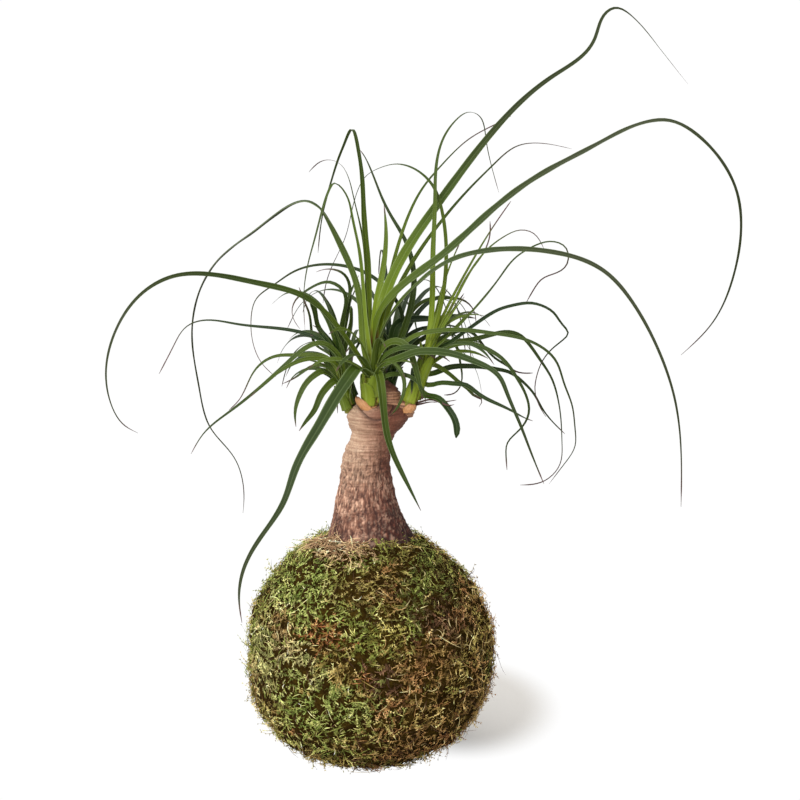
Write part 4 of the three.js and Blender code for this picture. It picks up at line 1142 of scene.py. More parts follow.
@dataclass(frozen=True)
class Blade:
    """A leaf in space: the line of its middle, its width, roll, end and look."""

    shoot: Shoot
    points: Array
    width: float
    roll: float
    blunt: bool
    tone: float
    dry: float
    rust: float = 0.0
    turning: float = 0.0

    def half_width(self, shares: Array) -> Array:
        """Half the width: narrow at the stem, widest in the first third, then a fine tip.

        Args:
            shares: Shares of the leaf's length.

        Returns:
            A half width for each share.
        """
        strides = np.linalg.norm(np.diff(self.points, axis=0), axis=1)
        slim = 0.6 * min(float(strides.sum()) / 140.0, 1.0)
        opening = 0.62 + 0.38 * smoothstep(shares, 0.0, 0.22)
        slimmed = 1.0 - slim * smoothstep(shares, 0.1, 0.75)
        taper = 1.0 if self.blunt else slimmed * np.maximum(1.0 - shares**5, 0.0) ** 0.9
        return np.maximum(0.5 * self.width * opening * taper, 0.35)

    def swayed(self, sway: float) -> Spline:
        """The middle line, given some sway along the line of sight: none at its root, most beyond its middle.

        Args:
            sway: The most sway, in millimetres.

        Returns:
            The line.
        """
        last = len(self.points) - 1
        wave = np.sin(math.pi * 0.62 * np.arange(last + 1) / last)
        return Spline(self.points + unit(self.points - VIEWER.eye) * (sway * wave)[:, None])


@dataclass
class Placed:
    """A line that other leaves keep clear of."""

    shoot: Shoot
    samples: Array
    half: Array


@dataclass
class LeafLayout:
    """Sets every leaf in space by the rule of the part's source, so that the fine leaves keep the solids'
    form."""

    sways: tuple[int, ...] = (0, 4, -4, 8, -8, 12, -12, 16, -16, 21, -21, 27, -27, 34, -34)
    spare: float = 1.2
    withers_below: float = 2.5
    withered: float = 0.2
    low_arch: float = 32.0
    low_tone: float = 0.42
    grown_dry: float = 0.08
    grown_roll: float = 46.0
    samples: int = 40
    steps: int = 7
    placed: list[Placed] = field(default_factory=list)

    def settled(self) -> list[tuple[Blade, Spline]]:
        """Sets every leaf.

        Returns:
            The blades and their lines.
        """
        shares = np.arange(self.samples + 1) / self.samples
        for shoot, stem in STEMS.items():
            half = np.full(self.samples - 1, float(max(stem.radii)))
            self.placed.append(Placed(shoot, stem.curve(shares)[2:], half))
        leaves = [self.settle(self.drawn(leaf), False) for leaf in LEAVES]
        for spray in SPRAYS:
            random = SeededDraws(spray.seed)
            curve = STEMS[spray.shoot].curve
            for i in range(spray.count):
                spot = (i + 0.5 + 0.6 * (random() - 0.5)) / spray.count
                leaves.append(self.settle(self.grown(spray, curve, spot, random), True))
        leaves += [self.settle(self.drawn(leaf), False) for leaf in REMNANTS]
        return [entry for entry in leaves if entry is not None]

    def drawn(self, leaf: Leaf) -> Blade:
        """Sets a drawn leaf at its own depth from where it leaves its stem.

        Args:
            leaf: The leaf.

        Returns:
            The leaf in space.
        """
        stem = STEMS[leaf.shoot]
        start = stem.curve(leaf.root)
        points = [start]
        for i, (across, up, *depth) in enumerate(leaf.line):
            share = (i + 1) / len(leaf.line)
            reach = leaf.lean * abs(across - start[0]) + leaf.away * share**1.5
            points.append(VIEWER.seen(across, up, depth[0] if depth else start[1] + reach))
        points = np.array(points)
        tone = self.tone_of(points, stem.tone) if leaf.tone is None else leaf.tone
        dry = leaf.dry + (self.withered if leaf.width < self.withers_below else 0.0)
        return Blade(
            leaf.shoot, points, leaf.width, leaf.roll, leaf.blunt, tone, dry, leaf.rust, leaf.turning)

    @staticmethod
    def tone_of(points: Array, brightest: float) -> float:
        """How light a leaf is: the upright young ones of a shoot are the lightest.

        Args:
            points: The leaf's points.
            brightest: The tone of an upright leaf.

        Returns:
            The tone.
        """
        rise = points[2] - points[0]
        steep = rise[2] / float(np.linalg.norm(rise))
        return brightest * (0.12 + 0.88 * float(smoothstep(steep, 0.45, 0.95)))

    def grown(self, spray: Spray, curve: Spline, spot: float, random: SeededDraws) -> Blade:
        """A leaf grown by rule: it rises from the head of its shoot, arches over and droops.

        Args:
            spray: The group that it belongs to.
            curve: The middle line of its stem.
            spot: Its share of the way round the group's spread.
            random: The group's run of draws.

        Returns:
            The leaf.
        """
        def between(span: Pair) -> float:
            """A draw between two limits."""
            return span[0] + (span[1] - span[0]) * random()

        turn = math.radians(spray.start + (spray.end - spray.start) * spot)
        length = min(between(spray.length), spray.aside / (0.72 * abs(math.cos(turn)) + 0.01))
        rise, width = between(spray.rise), between(spray.width)
        curl = math.radians(30 * (random() - 0.5))
        points = [curve(0.22 + 0.7 * random())]
        for step in range(1, self.steps + 1):
            share = (step - 0.5) / self.steps
            slope, heading = math.radians(rise - spray.fall * share**1.25), turn + curl * share
            way = (math.cos(slope) * math.cos(heading), math.cos(slope) * math.sin(heading), math.sin(slope))
            points.append(points[-1] + length / self.steps * np.array(way))
        roll = self.grown_roll * math.cos(turn) * (0.5 + random())
        points = np.array(points)
        tone = self.tone_of(points, STEMS[spray.shoot].tone)
        tone *= self.low_tone if np.ptp(points[:, 2]) < self.low_arch else 1.0
        return Blade(spray.shoot, points, width, roll, False, tone, self.grown_dry)

    def settle(self, blade: Blade, optional: bool) -> tuple[Blade, Spline] | None:
        """Gives a leaf the first sway that keeps it clear of the other shoots, or else the roomiest.

        Args:
            blade: The leaf.
            optional: Whether it is left out where there is no room.

        Returns:
            The leaf and its line, or None.
        """
        shares = np.arange(self.samples + 1)[2:] / self.samples
        half = blade.half_width(shares)
        others = [line for line in self.placed if line.shoot is not blade.shoot]
        points = np.concatenate([line.samples for line in others])
        needs = np.concatenate([line.half for line in others])
        best_room, best_line = -math.inf, None
        for sway in self.sways:
            line = blade.swayed(sway)
            apart = np.linalg.norm(line(shares)[:, None, :] - points[None, :, :], axis=-1)
            least = float((apart - half[:, None] - needs[None, :] - self.spare).min())
            if least > best_room:
                best_room, best_line = least, line
            if least > 0:
                break
        if optional and best_room <= 0:
            return None
        self.placed.append(Placed(blade.shoot, best_line(shares), half))
        return blade, best_line


@dataclass
class FineBlade:
    """The fine blade of one leaf: its cross-section, and how that changes along the line of its middle."""

    blade: Blade
    line: Spline
    random: Random
    broad_from: float = 3.2
    broad: tuple[float, ...] = (-1.0, -0.9, -0.6, -0.3, -0.09, 0.0, 0.09, 0.3, 0.6, 0.9, 1.0)
    narrow: tuple[float, ...] = (-1.0, -0.62, 0.0, 0.62, 1.0)
    crease: Pair = (0.36, 0.42)
    foot_crease: float = 0.25
    thickness: float = 0.62
    rim: float = 0.16
    foot_thickness: float = 0.9
    rib_groove: float = 0.09
    stride: float = 2.4
    fewest_rows: int = 14
    most_rows: int = 120
    twist: float = 14.0
    turning_at: Pair = (0.22, 0.34)
    ripple: float = 0.05
    ripple_pitch: float = 3.1
    clasp: float = 0.5
    tone_spread: float = 0.12
    colour_run: float = 160.0

    def __post_init__(self) -> None:
        """Works out where the blade is sampled, along and across."""
        self.length = self.line.length(40)
        rows = int(np.clip(self.length / self.stride, self.fewest_rows, self.most_rows)) + 1
        self.shares = np.linspace(0.0, 1.0, rows) ** 0.96
        self.along = self.shares * self.length
        self.is_broad = self.blade.width >= self.broad_from
        self.across = np.array(self.broad if self.is_broad else self.narrow)
        self.phases = self.random.uniform(0, TAU, 2)

    def add_to(self, stock: MeshStock) -> None:
        """Adds the blade to its shoot's mesh.

        Args:
            stock: The mesh.
        """
        blade, shares, across = self.blade, self.shares, self.across
        side, face = self.axes()
        half = self.half_width()
        valley, body = self.section(half)
        flat = self.line(shares)[:, None] + side[:, None] * (half[:, None] * across)[..., None]
        over, under = (flat + face[:, None] * (valley + part)[..., None] for part in (body / 2, -body / 2))
        tone = float(np.clip(blade.tone + self.random.uniform(-self.tone_spread, self.tone_spread), 0, 1))
        withered = 0 * shares if blade.blunt else smoothstep(shares, 1 - 1.6 * blade.dry, 1.0)
        rusty = blade.rust * (1 - smoothstep(self.along, 8, 24))
        reach = self.along / self.colour_run
        stock.skin(folded(over, under), tone=tone, dry=withered[:, None], reach=reach[:, None],
                   across=folded(across, across, 0), beneath=np.repeat([0.0, 1.0], len(across)),
                   rust=rusty[:, None])

    def axes(self) -> ArrayPair:
        """Works out how the blade faces.

        Returns:
            The way across it and the way out of its upper face, at each share of its length.
        """
        coarse = self.line(np.linspace(0, 1, 41))
        far = coarse[np.argmax(np.hypot(*(coarse - coarse[0]).T[:2]))]
        heading = math.atan2(far[1] - coarse[0][1], far[0] - coarse[0][0])
        level = np.array([math.sin(heading), -math.cos(heading), 0.0])
        ahead = self.line.tangents(self.shares)
        flat = unit(level - ahead * (ahead @ level)[:, None])
        twist = self.twist * np.sin(2.2 * math.pi * self.shares + self.phases[0]) * self.shares
        turn = self.blade.roll + twist + self.blade.turning * smoothstep(self.shares, *self.turning_at)
        side = turned(flat, np.cross(ahead, flat), np.radians(turn))
        return side, np.cross(side, ahead)

    def half_width(self) -> Array:
        """Works out half the width, which clasps the stem and ends finer than the solid.

        Returns:
            A half width for each share of its length.
        """
        clasp = 1.0 + self.clasp * (1.0 - smoothstep(self.shares, 0.0, 0.22))
        half = clasp * self.blade.half_width(self.shares)
        if self.blade.blunt:
            return half * np.sqrt(1.03 - smoothstep(self.shares, 0.9, 1.0))
        return half * (1 - 0.7 * smoothstep(self.shares, 0.965, 1.0))

    def section(self, half: Array) -> ArrayPair:
        """Works out the blade's valley with its ripple and midrib, and its thickness.

        Args:
            half: Its half width at each share of its length.

        Returns:
            How far its middle layer stands out and how thick it is, in millimetres, for each share and place
                across.
        """
        outward = np.abs(self.across)[None, :]
        crease = self.crease[self.is_broad] * (1 - 0.6 * self.shares)
        crease = crease + self.foot_crease * np.exp(-self.along / 9)
        wave = self.ripple * np.sin(self.along / self.ripple_pitch + self.phases[1])
        ripple = wave[:, None] * np.sign(self.across) * outward**2
        swell = np.minimum(1.0, half / 1.2)
        groove = self.rib_groove * (outward < 0.05) * swell[:, None]
        valley = half[:, None] * (crease[:, None] * (outward**1.2 - 1.0) + ripple) - groove
        thin = (1.0 - 0.45 * smoothstep(self.shares, 0.1, 0.9)) * swell
        body = (self.rim + (self.thickness - self.rim) * (1 - outward**2.2)) * thin[:, None]
        return valley, body * (1.0 + self.foot_thickness * np.exp(-self.along / 7))[:, None]


@dataclass
class LeafyShoot:
    """One shoot: its stem, wrapped in overlapping leaf feet, and its blades."""

    shoot: Shoot
    leaves: list[tuple[Blade, Spline]]
    material: Material
    seed: int
    random: Random = field(init=False)
    stock: MeshStock = field(default_factory=MeshStock)
    stem_rows: int = 26
    stem_sides: int = 28
    stem_ribs: int = 5
    rib_height: float = 0.32
    foot_rows: int = 12
    foot_columns: int = 9

    @property
    def stem(self) -> Stem:
        """The shoot's stem."""
        return STEMS[self.shoot]

    def __post_init__(self) -> None:
        """Starts the shoot's draws."""
        self.random = np.random.default_rng(self.seed)

    def build(self) -> None:
        """Makes the shoot's piece."""
        self.add_stem()
        self.add_feet()
        for blade, line in self.leaves:
            FineBlade(blade, line, self.random).add_to(self.stock)
        self.stock.piece(self.shoot.value, self.material, "leaf", self.shoot.value)

    def add_stem(self) -> None:
        """Adds the stem, ribbed where leaf feet lie over each other."""
        def ribs(share: Array, turn: Array) -> Array:
            """How far a rib stands out, less so towards the stem's head."""
            return self.rib_height * np.cos(self.stem_ribs * turn + 5.0 * share) * (1 - share)

        shares = np.linspace(0, 1, self.stem_rows)
        radii = self.stem.radius(shares) * (1 - 0.55 * smoothstep(shares, 0.86, 1.0))
        rings = tube(self.stem.curve(shares), radii, self.stem_sides, ribs)
        rusty = 0.5 * (1 - smoothstep(shares, 0.0, 0.16))
        self.stock.skin(rings, reach=(0.09 * shares)[:, None], across=0.4, tone=self.stem.tone, beneath=0.0,
                        dry=0.0, rust=rusty[:, None])

    def add_feet(self) -> None:
        """Adds the short clasping leaf feet that overlap round the stem."""
        for i in range(self.stem.sheaths):
            share = i / self.stem.sheaths
            span = (0.02 + 0.55 * share, min(0.5 + 0.6 * share, 1.12))
            self.add_foot(span, 2.4 * i + self.random.uniform(-0.4, 0.4))

    def add_foot(self, span: Pair, turn: float) -> None:
        """Adds one clasping leaf foot: a curved scale that hugs the stem and ends in a point.

        Args:
            span: Where on the stem it starts and ends.
            turn: Which side of the stem it lies on.
        """
        stem, curve = self.stem, self.stem.curve
        shares = np.linspace(0, 1, self.foot_rows)
        across = np.linspace(-1, 1, self.foot_columns)
        at = span[0] + (span[1] - span[0]) * shares
        along = curve.tangents(np.minimum(at, 0.99))
        middle = curve(at) + along * (np.maximum(at - 1, 0) * curve.length(20))[:, None]
        first, second = round_line(along)
        lean = self.random.uniform(0.2, 1.5) * shares**2.5
        out = stem.radius(np.minimum(at, 1.0)) * (1.0 + 0.1 * (1 - shares))
        out = out + self.random.uniform(0.3, 0.8) + lean * 2.0
        wrap = self.random.uniform(0.9, 1.3) * (1 - shares**2.2) ** 0.7 + 0.05
        direction = turned(first[:, None], second[:, None], turn + wrap[:, None] * across[None, :])
        thick = 0.28 + 0.35 * (1 - across[None, :] ** 2) * (1 - 0.6 * shares[:, None])
        outer, inner = (middle[:, None] + direction * (out[:, None] + part)[..., None]
                        for part in (thick, -thick))
        spread = folded(across, across, 0)
        edge = 0.75 * smoothstep(np.abs(spread), 0.6, 1.0) * (1 - shares[:, None])
        edge = edge * self.random.uniform(0.3, 1.0)
        rusty = np.maximum(edge, 0.4 * smoothstep(shares, 0.8, 1.0)[:, None])
        tone = float(np.clip(stem.tone + self.random.uniform(-0.3, 0.2), 0, 1))
        reach = 0.03 + 0.1 * span[0] + 0.1 * shares
        self.stock.skin(folded(outer, inner), across=0.9 * spread, reach=reach[:, None], tone=tone,
                        beneath=0.0, dry=0.0, rust=rusty)


# Trunk

Knob = tuple[Four, ...]


@dataclass
class Trunk:
    """The swollen trunk: ringed above, fissured below, with the stump's two knobs, its scar and its buried
    roots."""

    material: Material
    stations: tuple[Four, ...] = (
        (78, 0, 5, 5), (84, 0, 15, 14.5), (91, 0, 22, 21.5), (99, 0.5, 25.2, 25), (107, 0.5, 25, 24.6),
        (114, 0.2, 22.6, 22.2), (120, -0.2, 20.2, 19.8), (124, -0.8, 18.6, 18.3), (129, -1.6, 16.9, 16.6),
        (136, -2.3, 15.1, 15), (143, -2.4, 13.5, 13.6), (150, -2.3, 12.5, 12.8), (157, -1.6, 12, 12.3),
        (162, -0.6, 11.5, 11.8), (165.5, 0.6, 11, 11.4), (168.5, 1.8, 11.5, 11.8), (171.5, 2.8, 13.3, 13),
        (174.5, 3.5, 15, 14), (177.5, 3.8, 15.6, 14.3), (180.5, 3.5, 14.2, 13.2), (182.8, 3, 10.5, 10),
        (184, 2.5, 4, 4))
    fine_from: float = 98.0
    buried_rows: int = 14
    rows: int = 204
    sides: int = 152
    scar: tuple[Pair, ...] = (
        (-6.5, 174), (-5, 171.5), (-2, 168.6), (3.5, 167), (10, 169.8), (13.5, 173.5))
    scar_depth: float = -13.0
    knobs: tuple[Knob, Knob] = (
        ((10.6, 3.5, 176, 7), (10.3, 3.5, 184, 6.1), (9.9, 3.5, 188.6, 5.7), (10.5, 3.5, 191.2, 5.4),
         (11.3, 3.5, 192.4, 3.6)),
        ((17.8, 0, 176.5, 3.2), (17.8, 0, 178.5, 4.4), (17.8, 0, 181, 4.4), (17.8, 0, 184.4, 3.2),
         (17.8, 0, 185.5, 1.2)))
    knob_rows: int = 44
    knob_sides: int = 56
    root_count: int = 6
    root_rows: int = 9
    root_sides: int = 14
    ring_height: float = 0.2
    ring_pitch: float = 5.2
    rib_height: float = 0.4
    rib_count: int = 9
    plate_height: float = 0.42
    flake_height: float = 0.28
    rough_height: float = 0.2
    broad_height: float = 0.6
    wrinkle_height: float = 0.2
    wrinkle_pitch: float = 1.75
    stock: MeshStock = field(default_factory=MeshStock)

    def build(self) -> None:
        """Makes the trunk's piece."""
        self.add_column()
        for index, knob in enumerate(self.knobs):
            self.add_knob(knob, index)
        for index in range(self.root_count):
            self.add_root(index)
        self.stock.piece("trunk_bark", self.material, "bark", "trunk")

    def add_column(self) -> None:
        """Adds the column with its bark in relief."""
        table = np.array(self.stations)
        across, depth = Spline(table[:, [0, 1, 2]]), Spline(table[:, [0, 1, 3]])
        probe = np.linspace(0, 1, 400)
        start = float(probe[np.argmax(across(probe)[:, 0] > self.fine_from)])
        buried = np.linspace(0, start, self.buried_rows, endpoint=False)
        shares = np.concatenate([buried, np.linspace(start, 1, self.rows)])
        height, middle, half_across = across(shares).T[..., None]
        half_depth = depth(shares)[:, 2:]
        height, turn = np.broadcast_arrays(height, TAU * np.arange(self.sides) / self.sides)
        plain = np.stack([middle + half_across * np.cos(turn), half_depth * np.sin(turn), height], axis=-1)
        relief, groove, flake = self.bark_relief(plain, turn)
        relief *= smoothstep(shares, 0.0, 0.05)[:, None]
        plain[..., 0] = middle + np.maximum(half_across + relief, 0.4) * np.cos(turn)
        plain[..., 1] = np.maximum(half_depth + relief, 0.4) * np.sin(turn)
        self.stock.skin(plain, groove=groove, flake=flake, fresh=0.0)

    def bark_relief(self, points: Array, turn: Array) -> tuple[Array, Array, Array]:
        """How far the bark stands out, how deep in a crack or wrinkle each point is for its painted shade,
        and how far it is a lifted flake.

        Args:
            points: The smooth column's points.
            turn: Each point's turn round the column.

        Returns:
            The relief in millimetres, the painted shade of the cracks and wrinkles, and the flakes, from 0 to
            1.
        """
        flat, height = points.reshape(-1, 3), points[..., 2]
        upper, ringed = smoothstep(height, 132, 148), smoothstep(height, 150, 170)
        lower = 1 - 0.86 * ringed
        rings = np.cos(TAU * height / self.ring_pitch + 0.6 * np.sin(turn + 1))
        ribs = np.cos(self.rib_count * turn + 1.2 * np.sin(height / 9))
        relief = upper * self.ring_height * rings + (1 - 0.7 * upper) * self.rib_height * ribs - 0.3
        warp = noise_vectors(flat / [4, 4, 7], 3)
        plates = smoothstep(cracks(flat / [2.8, 2.8, 24] + 1.1 * warp, 11), 0.0, 0.16).reshape(height.shape)
        flakes = smoothstep(cracks(flat / [1.1, 1.1, 8.5] + warp, 23), 0.0, 0.26).reshape(height.shape)
        rough, broad = noise_on(points, (0.8, 0.8, 1.6), 31), noise_on(points, (7, 7, 11), 41)
        plated = self.plate_height * (plates - 0.8) + self.flake_height * (flakes - 0.7)
        relief = relief + lower * (plated + self.rough_height * rough + self.broad_height * broad)
        wrinkle = np.sin(TAU * height / self.wrinkle_pitch + 2.4 * noise_on(points, (9, 9, 5), 53))
        strength = 0.5 + 0.5 * noise_on(points, (5, 5, 3), 61)
        relief = relief + smoothstep(height, 140, 166) * self.wrinkle_height * wrinkle * strength
        # painted shade in the cracks and in the troughs of the ring wrinkles
        groove = lower * np.clip(0.7 * (1 - plates) + 0.5 * (1 - flakes) - 0.12, 0, 1)
        groove = np.maximum(groove, 0.55 * ringed * smoothstep(-wrinkle * strength, 0.35, 1.0))
        flake = lower * smoothstep(0.6 * broad + 1.1 * rough + 0.5 * flakes, 0.3, 1.15)
        seat, line = self.scar_relief(points)
        return relief + seat, np.maximum(groove, line), flake * (1 - line)

    def scar_relief(self, points: Array) -> ArrayPair:
        """The curved scar under the front shoot: a groove with a lip below it.

        Args:
            points: The smooth column's points.

        Returns:
            The relief in millimetres and the groove's mask, which also paints shade in the groove.
        """
        path = np.array([VIEWER.seen(*spot, self.scar_depth) for spot in self.scar])[:, [0, 2]]
        fine = Spline(path)(np.linspace(0, 1, 60))
        front = points[..., 1] < -2.0
        spots = points[..., [0, 2]].reshape(-1, 2)
        apart = np.linalg.norm(spots[:, None] - fine[None], axis=-1)
        nearest = apart.min(axis=1).reshape(front.shape)
        below = (spots[:, 1] < fine[apart.argmin(axis=1), 1]).reshape(front.shape)
        groove = np.where(front, 1 - smoothstep(nearest, 0.15, 0.75), 0.0)
        lip = np.where(front & below, np.exp(-(((nearest - 1.3) / 0.7) ** 2)), 0.0)
        seat = np.where(front & ~below, -0.35 * np.exp(-((nearest / 3.0) ** 2)), 0.0)
        return -0.85 * groove + 0.55 * lip + seat, groove

    def add_knob(self, knob: Knob, index: int) -> None:
        """Adds one knob of the stump: the broad, healed stub of an old shoot, with a rim that peels.

        Args:
            knob: Its middle points, each with a radius.
            index: Which knob it is.
        """
        rows, sides = self.knob_rows, self.knob_sides
        table, shares = np.array(knob), np.linspace(0, 1, rows)
        radii = np.interp(shares, np.linspace(0, 1, len(table)), table[:, 3])
        rim = np.exp(-(((shares - 0.8) / 0.05) ** 2))
        points = tube(Spline(table[:, :3])(shares), radii + 0.35 * rim, sides)
        rough = noise_on(points, 2.4, 71 + index)
        wrinkle = np.sin(TAU * points[..., 2] / 1.5 + 2.5 * noise_on(points, 3, 5))
        top = smoothstep(shares, 0.8, 0.92)[:, None]
        bumps = 0.32 * rough + 0.16 * wrinkle * (1 - top)
        points = points + unit(points - table[2, :3]) * bumps[..., None]
        # painted shade in the wrinkle troughs and in the rough top of the knob
        lines = smoothstep(-wrinkle, 0.5, 1.0) * (1 - top)
        groove = np.maximum(lines, 0.7 * top * smoothstep(-rough, -0.2, 0.5))
        flake = 0.9 * smoothstep(rough, -0.1, 0.3) * rim[:, None]
        self.stock.skin(points, groove=0.6 * groove, flake=np.clip(flake, 0, 1), fresh=0.75 * (1 - top))

    def add_root(self, index: int) -> None:
        """Adds one buried root.

        Args:
            index: Which root it is.
        """
        turn = TAU * (index + 0.35) / self.root_count
        length = 26.0 * (1 if index % 2 else 0.8)
        shares = np.linspace(0, 1, self.root_rows)
        out = 10 + length * shares
        line = np.stack([out * math.cos(turn), out * math.sin(turn), 92 - 0.75 * length * shares], axis=-1)
        rings = tube(line, 3.4 - 2.4 * shares, self.root_sides)
        self.stock.skin(rings, groove=0.2, flake=0.0, fresh=0.0)


@dataclass(frozen=True)
class SheathPlace:
    """One papery sheath: the points of its middle line, its width, how far it wraps, and which way it
    faces."""

    line: tuple[Triple, ...]
    width: float
    wrap: float
    facing: float


@dataclass
class PaperySheaths:
    """The dry orange-tan sheaths round the feet of the shoots."""

    material: Material
    rows: int = 16
    columns: int = 15
    half_thick: float = 0.22
    waves: float = 0.25
    ragged: float = 0.7
    stock: MeshStock = field(default_factory=MeshStock)
    places: tuple[SheathPlace, ...] = (
        SheathPlace(((-0.4, 172.2, -7.0), (-2.2, 174.8, -7.2), (-5.2, 179.0, -6.4)), 9.0, 1.0, -1.9),
        SheathPlace(((18.2, 171.0, -1.6), (19.4, 173.2, -1.8), (20.6, 175.8, -1.6)), 8.4, 1.2, -1.4),
        SheathPlace(((0.6, 171.8, -6.6), (0.6, 173.4, -6.8), (0.7, 176.0, -6.6)), 7.2, 1.35, -1.55),
    )

    def build(self) -> None:
        """Makes the sheaths' piece."""
        for spot in self.places:
            self.add_sheath(spot)
        self.stock.piece("papery_sheaths", self.material, "bark", "trunk")

    def add_sheath(self, spot: SheathPlace) -> None:
        """Adds one curved scale that stands round a stem's foot.

        Args:
            spot: Where it stands and how large it is.
        """
        shares, across = np.linspace(0, 1, self.rows)[:, None], np.linspace(-1, 1, self.columns)
        middle = Spline(np.array([VIEWER.seen(*point) for point in spot.line]))(shares[:, 0])
        radius = spot.width / 2 * (0.86 + 0.3 * shares * (1 - shares)) * (1 - 0.15 * shares)
        angle = spot.facing + spot.wrap * (1 - 0.75 * shares**3) * across
        direction = np.stack([np.cos(angle), np.sin(angle), 0 * angle], axis=-1)
        flare = self.waves * noise_on(direction * 3 + shares[..., None] * 2, 1, 9)
        ragged = self.ragged * smooth_noise(np.stack([across * 4, across * 0, across * 0], axis=-1), 17)
        layers = []
        for part in (self.half_thick, -self.half_thick):
            layer = middle[:, None] + direction * (radius + part + flare)[..., None]
            layer[..., 2] += shares**3 * ragged
            layers.append(layer)
        self.stock.skin(folded(*layers), share=shares, across=folded(across, across, 0))


# Moss

class Tint(Enum):
    """The colours that the moss shows."""

    BRIGHT = srgb(130, 154, 72)
    LEAFY = srgb(110, 124, 52)
    OLIVE = srgb(136, 114, 60)
    GOLD = srgb(152, 138, 62)
    # pale straw: partly pale moss, partly painted highlight and sheen
    STRAW_AND_SHEEN = srgb(196, 178, 134)
    TAN = srgb(138, 92, 58)
    RUST = srgb(150, 86, 52)
    DUSK = srgb(76, 50, 42)
    PINE = srgb(70, 82, 38)
    # dark root colour of the strands: partly old litter, partly painted shade at the roots
    DRY = srgb(184, 142, 112)
    LITTER_AND_SHADE = srgb(56, 35, 7)

    @property
    def colour(self) -> Array:
        """The linear colour."""
        return np.array(self.value[:3])


@dataclass(frozen=True)
class Patch:
    """A patch of the moss that has a colour of its own: its middle across and up from the ball's foot as the
    viewer sees it, its half width and half height, its tint and how strongly it holds."""

    across: float
    up: float
    half_wide: float
    half_high: float
    tint: Tint
    hold: float


@dataclass(frozen=True)
class Strands:
    """Strands of one kind, with a row for each in their arrays: where it starts, the way out of the ball
    there, the level way that it leans, how far it stands up and how far it bends as it grows, in radians, its
    length and its tint. joints is how many rings each has before its tip, stoutness how thick it is as a
    share of a stout strand, and pairs how many pairs of leaflets it has."""

    name: str
    roots: Array
    normal: Array
    way: Array
    lift: Array
    curl: Array
    length: Array
    tints: Array
    joints: int
    stoutness: float
    pairs: int = 0


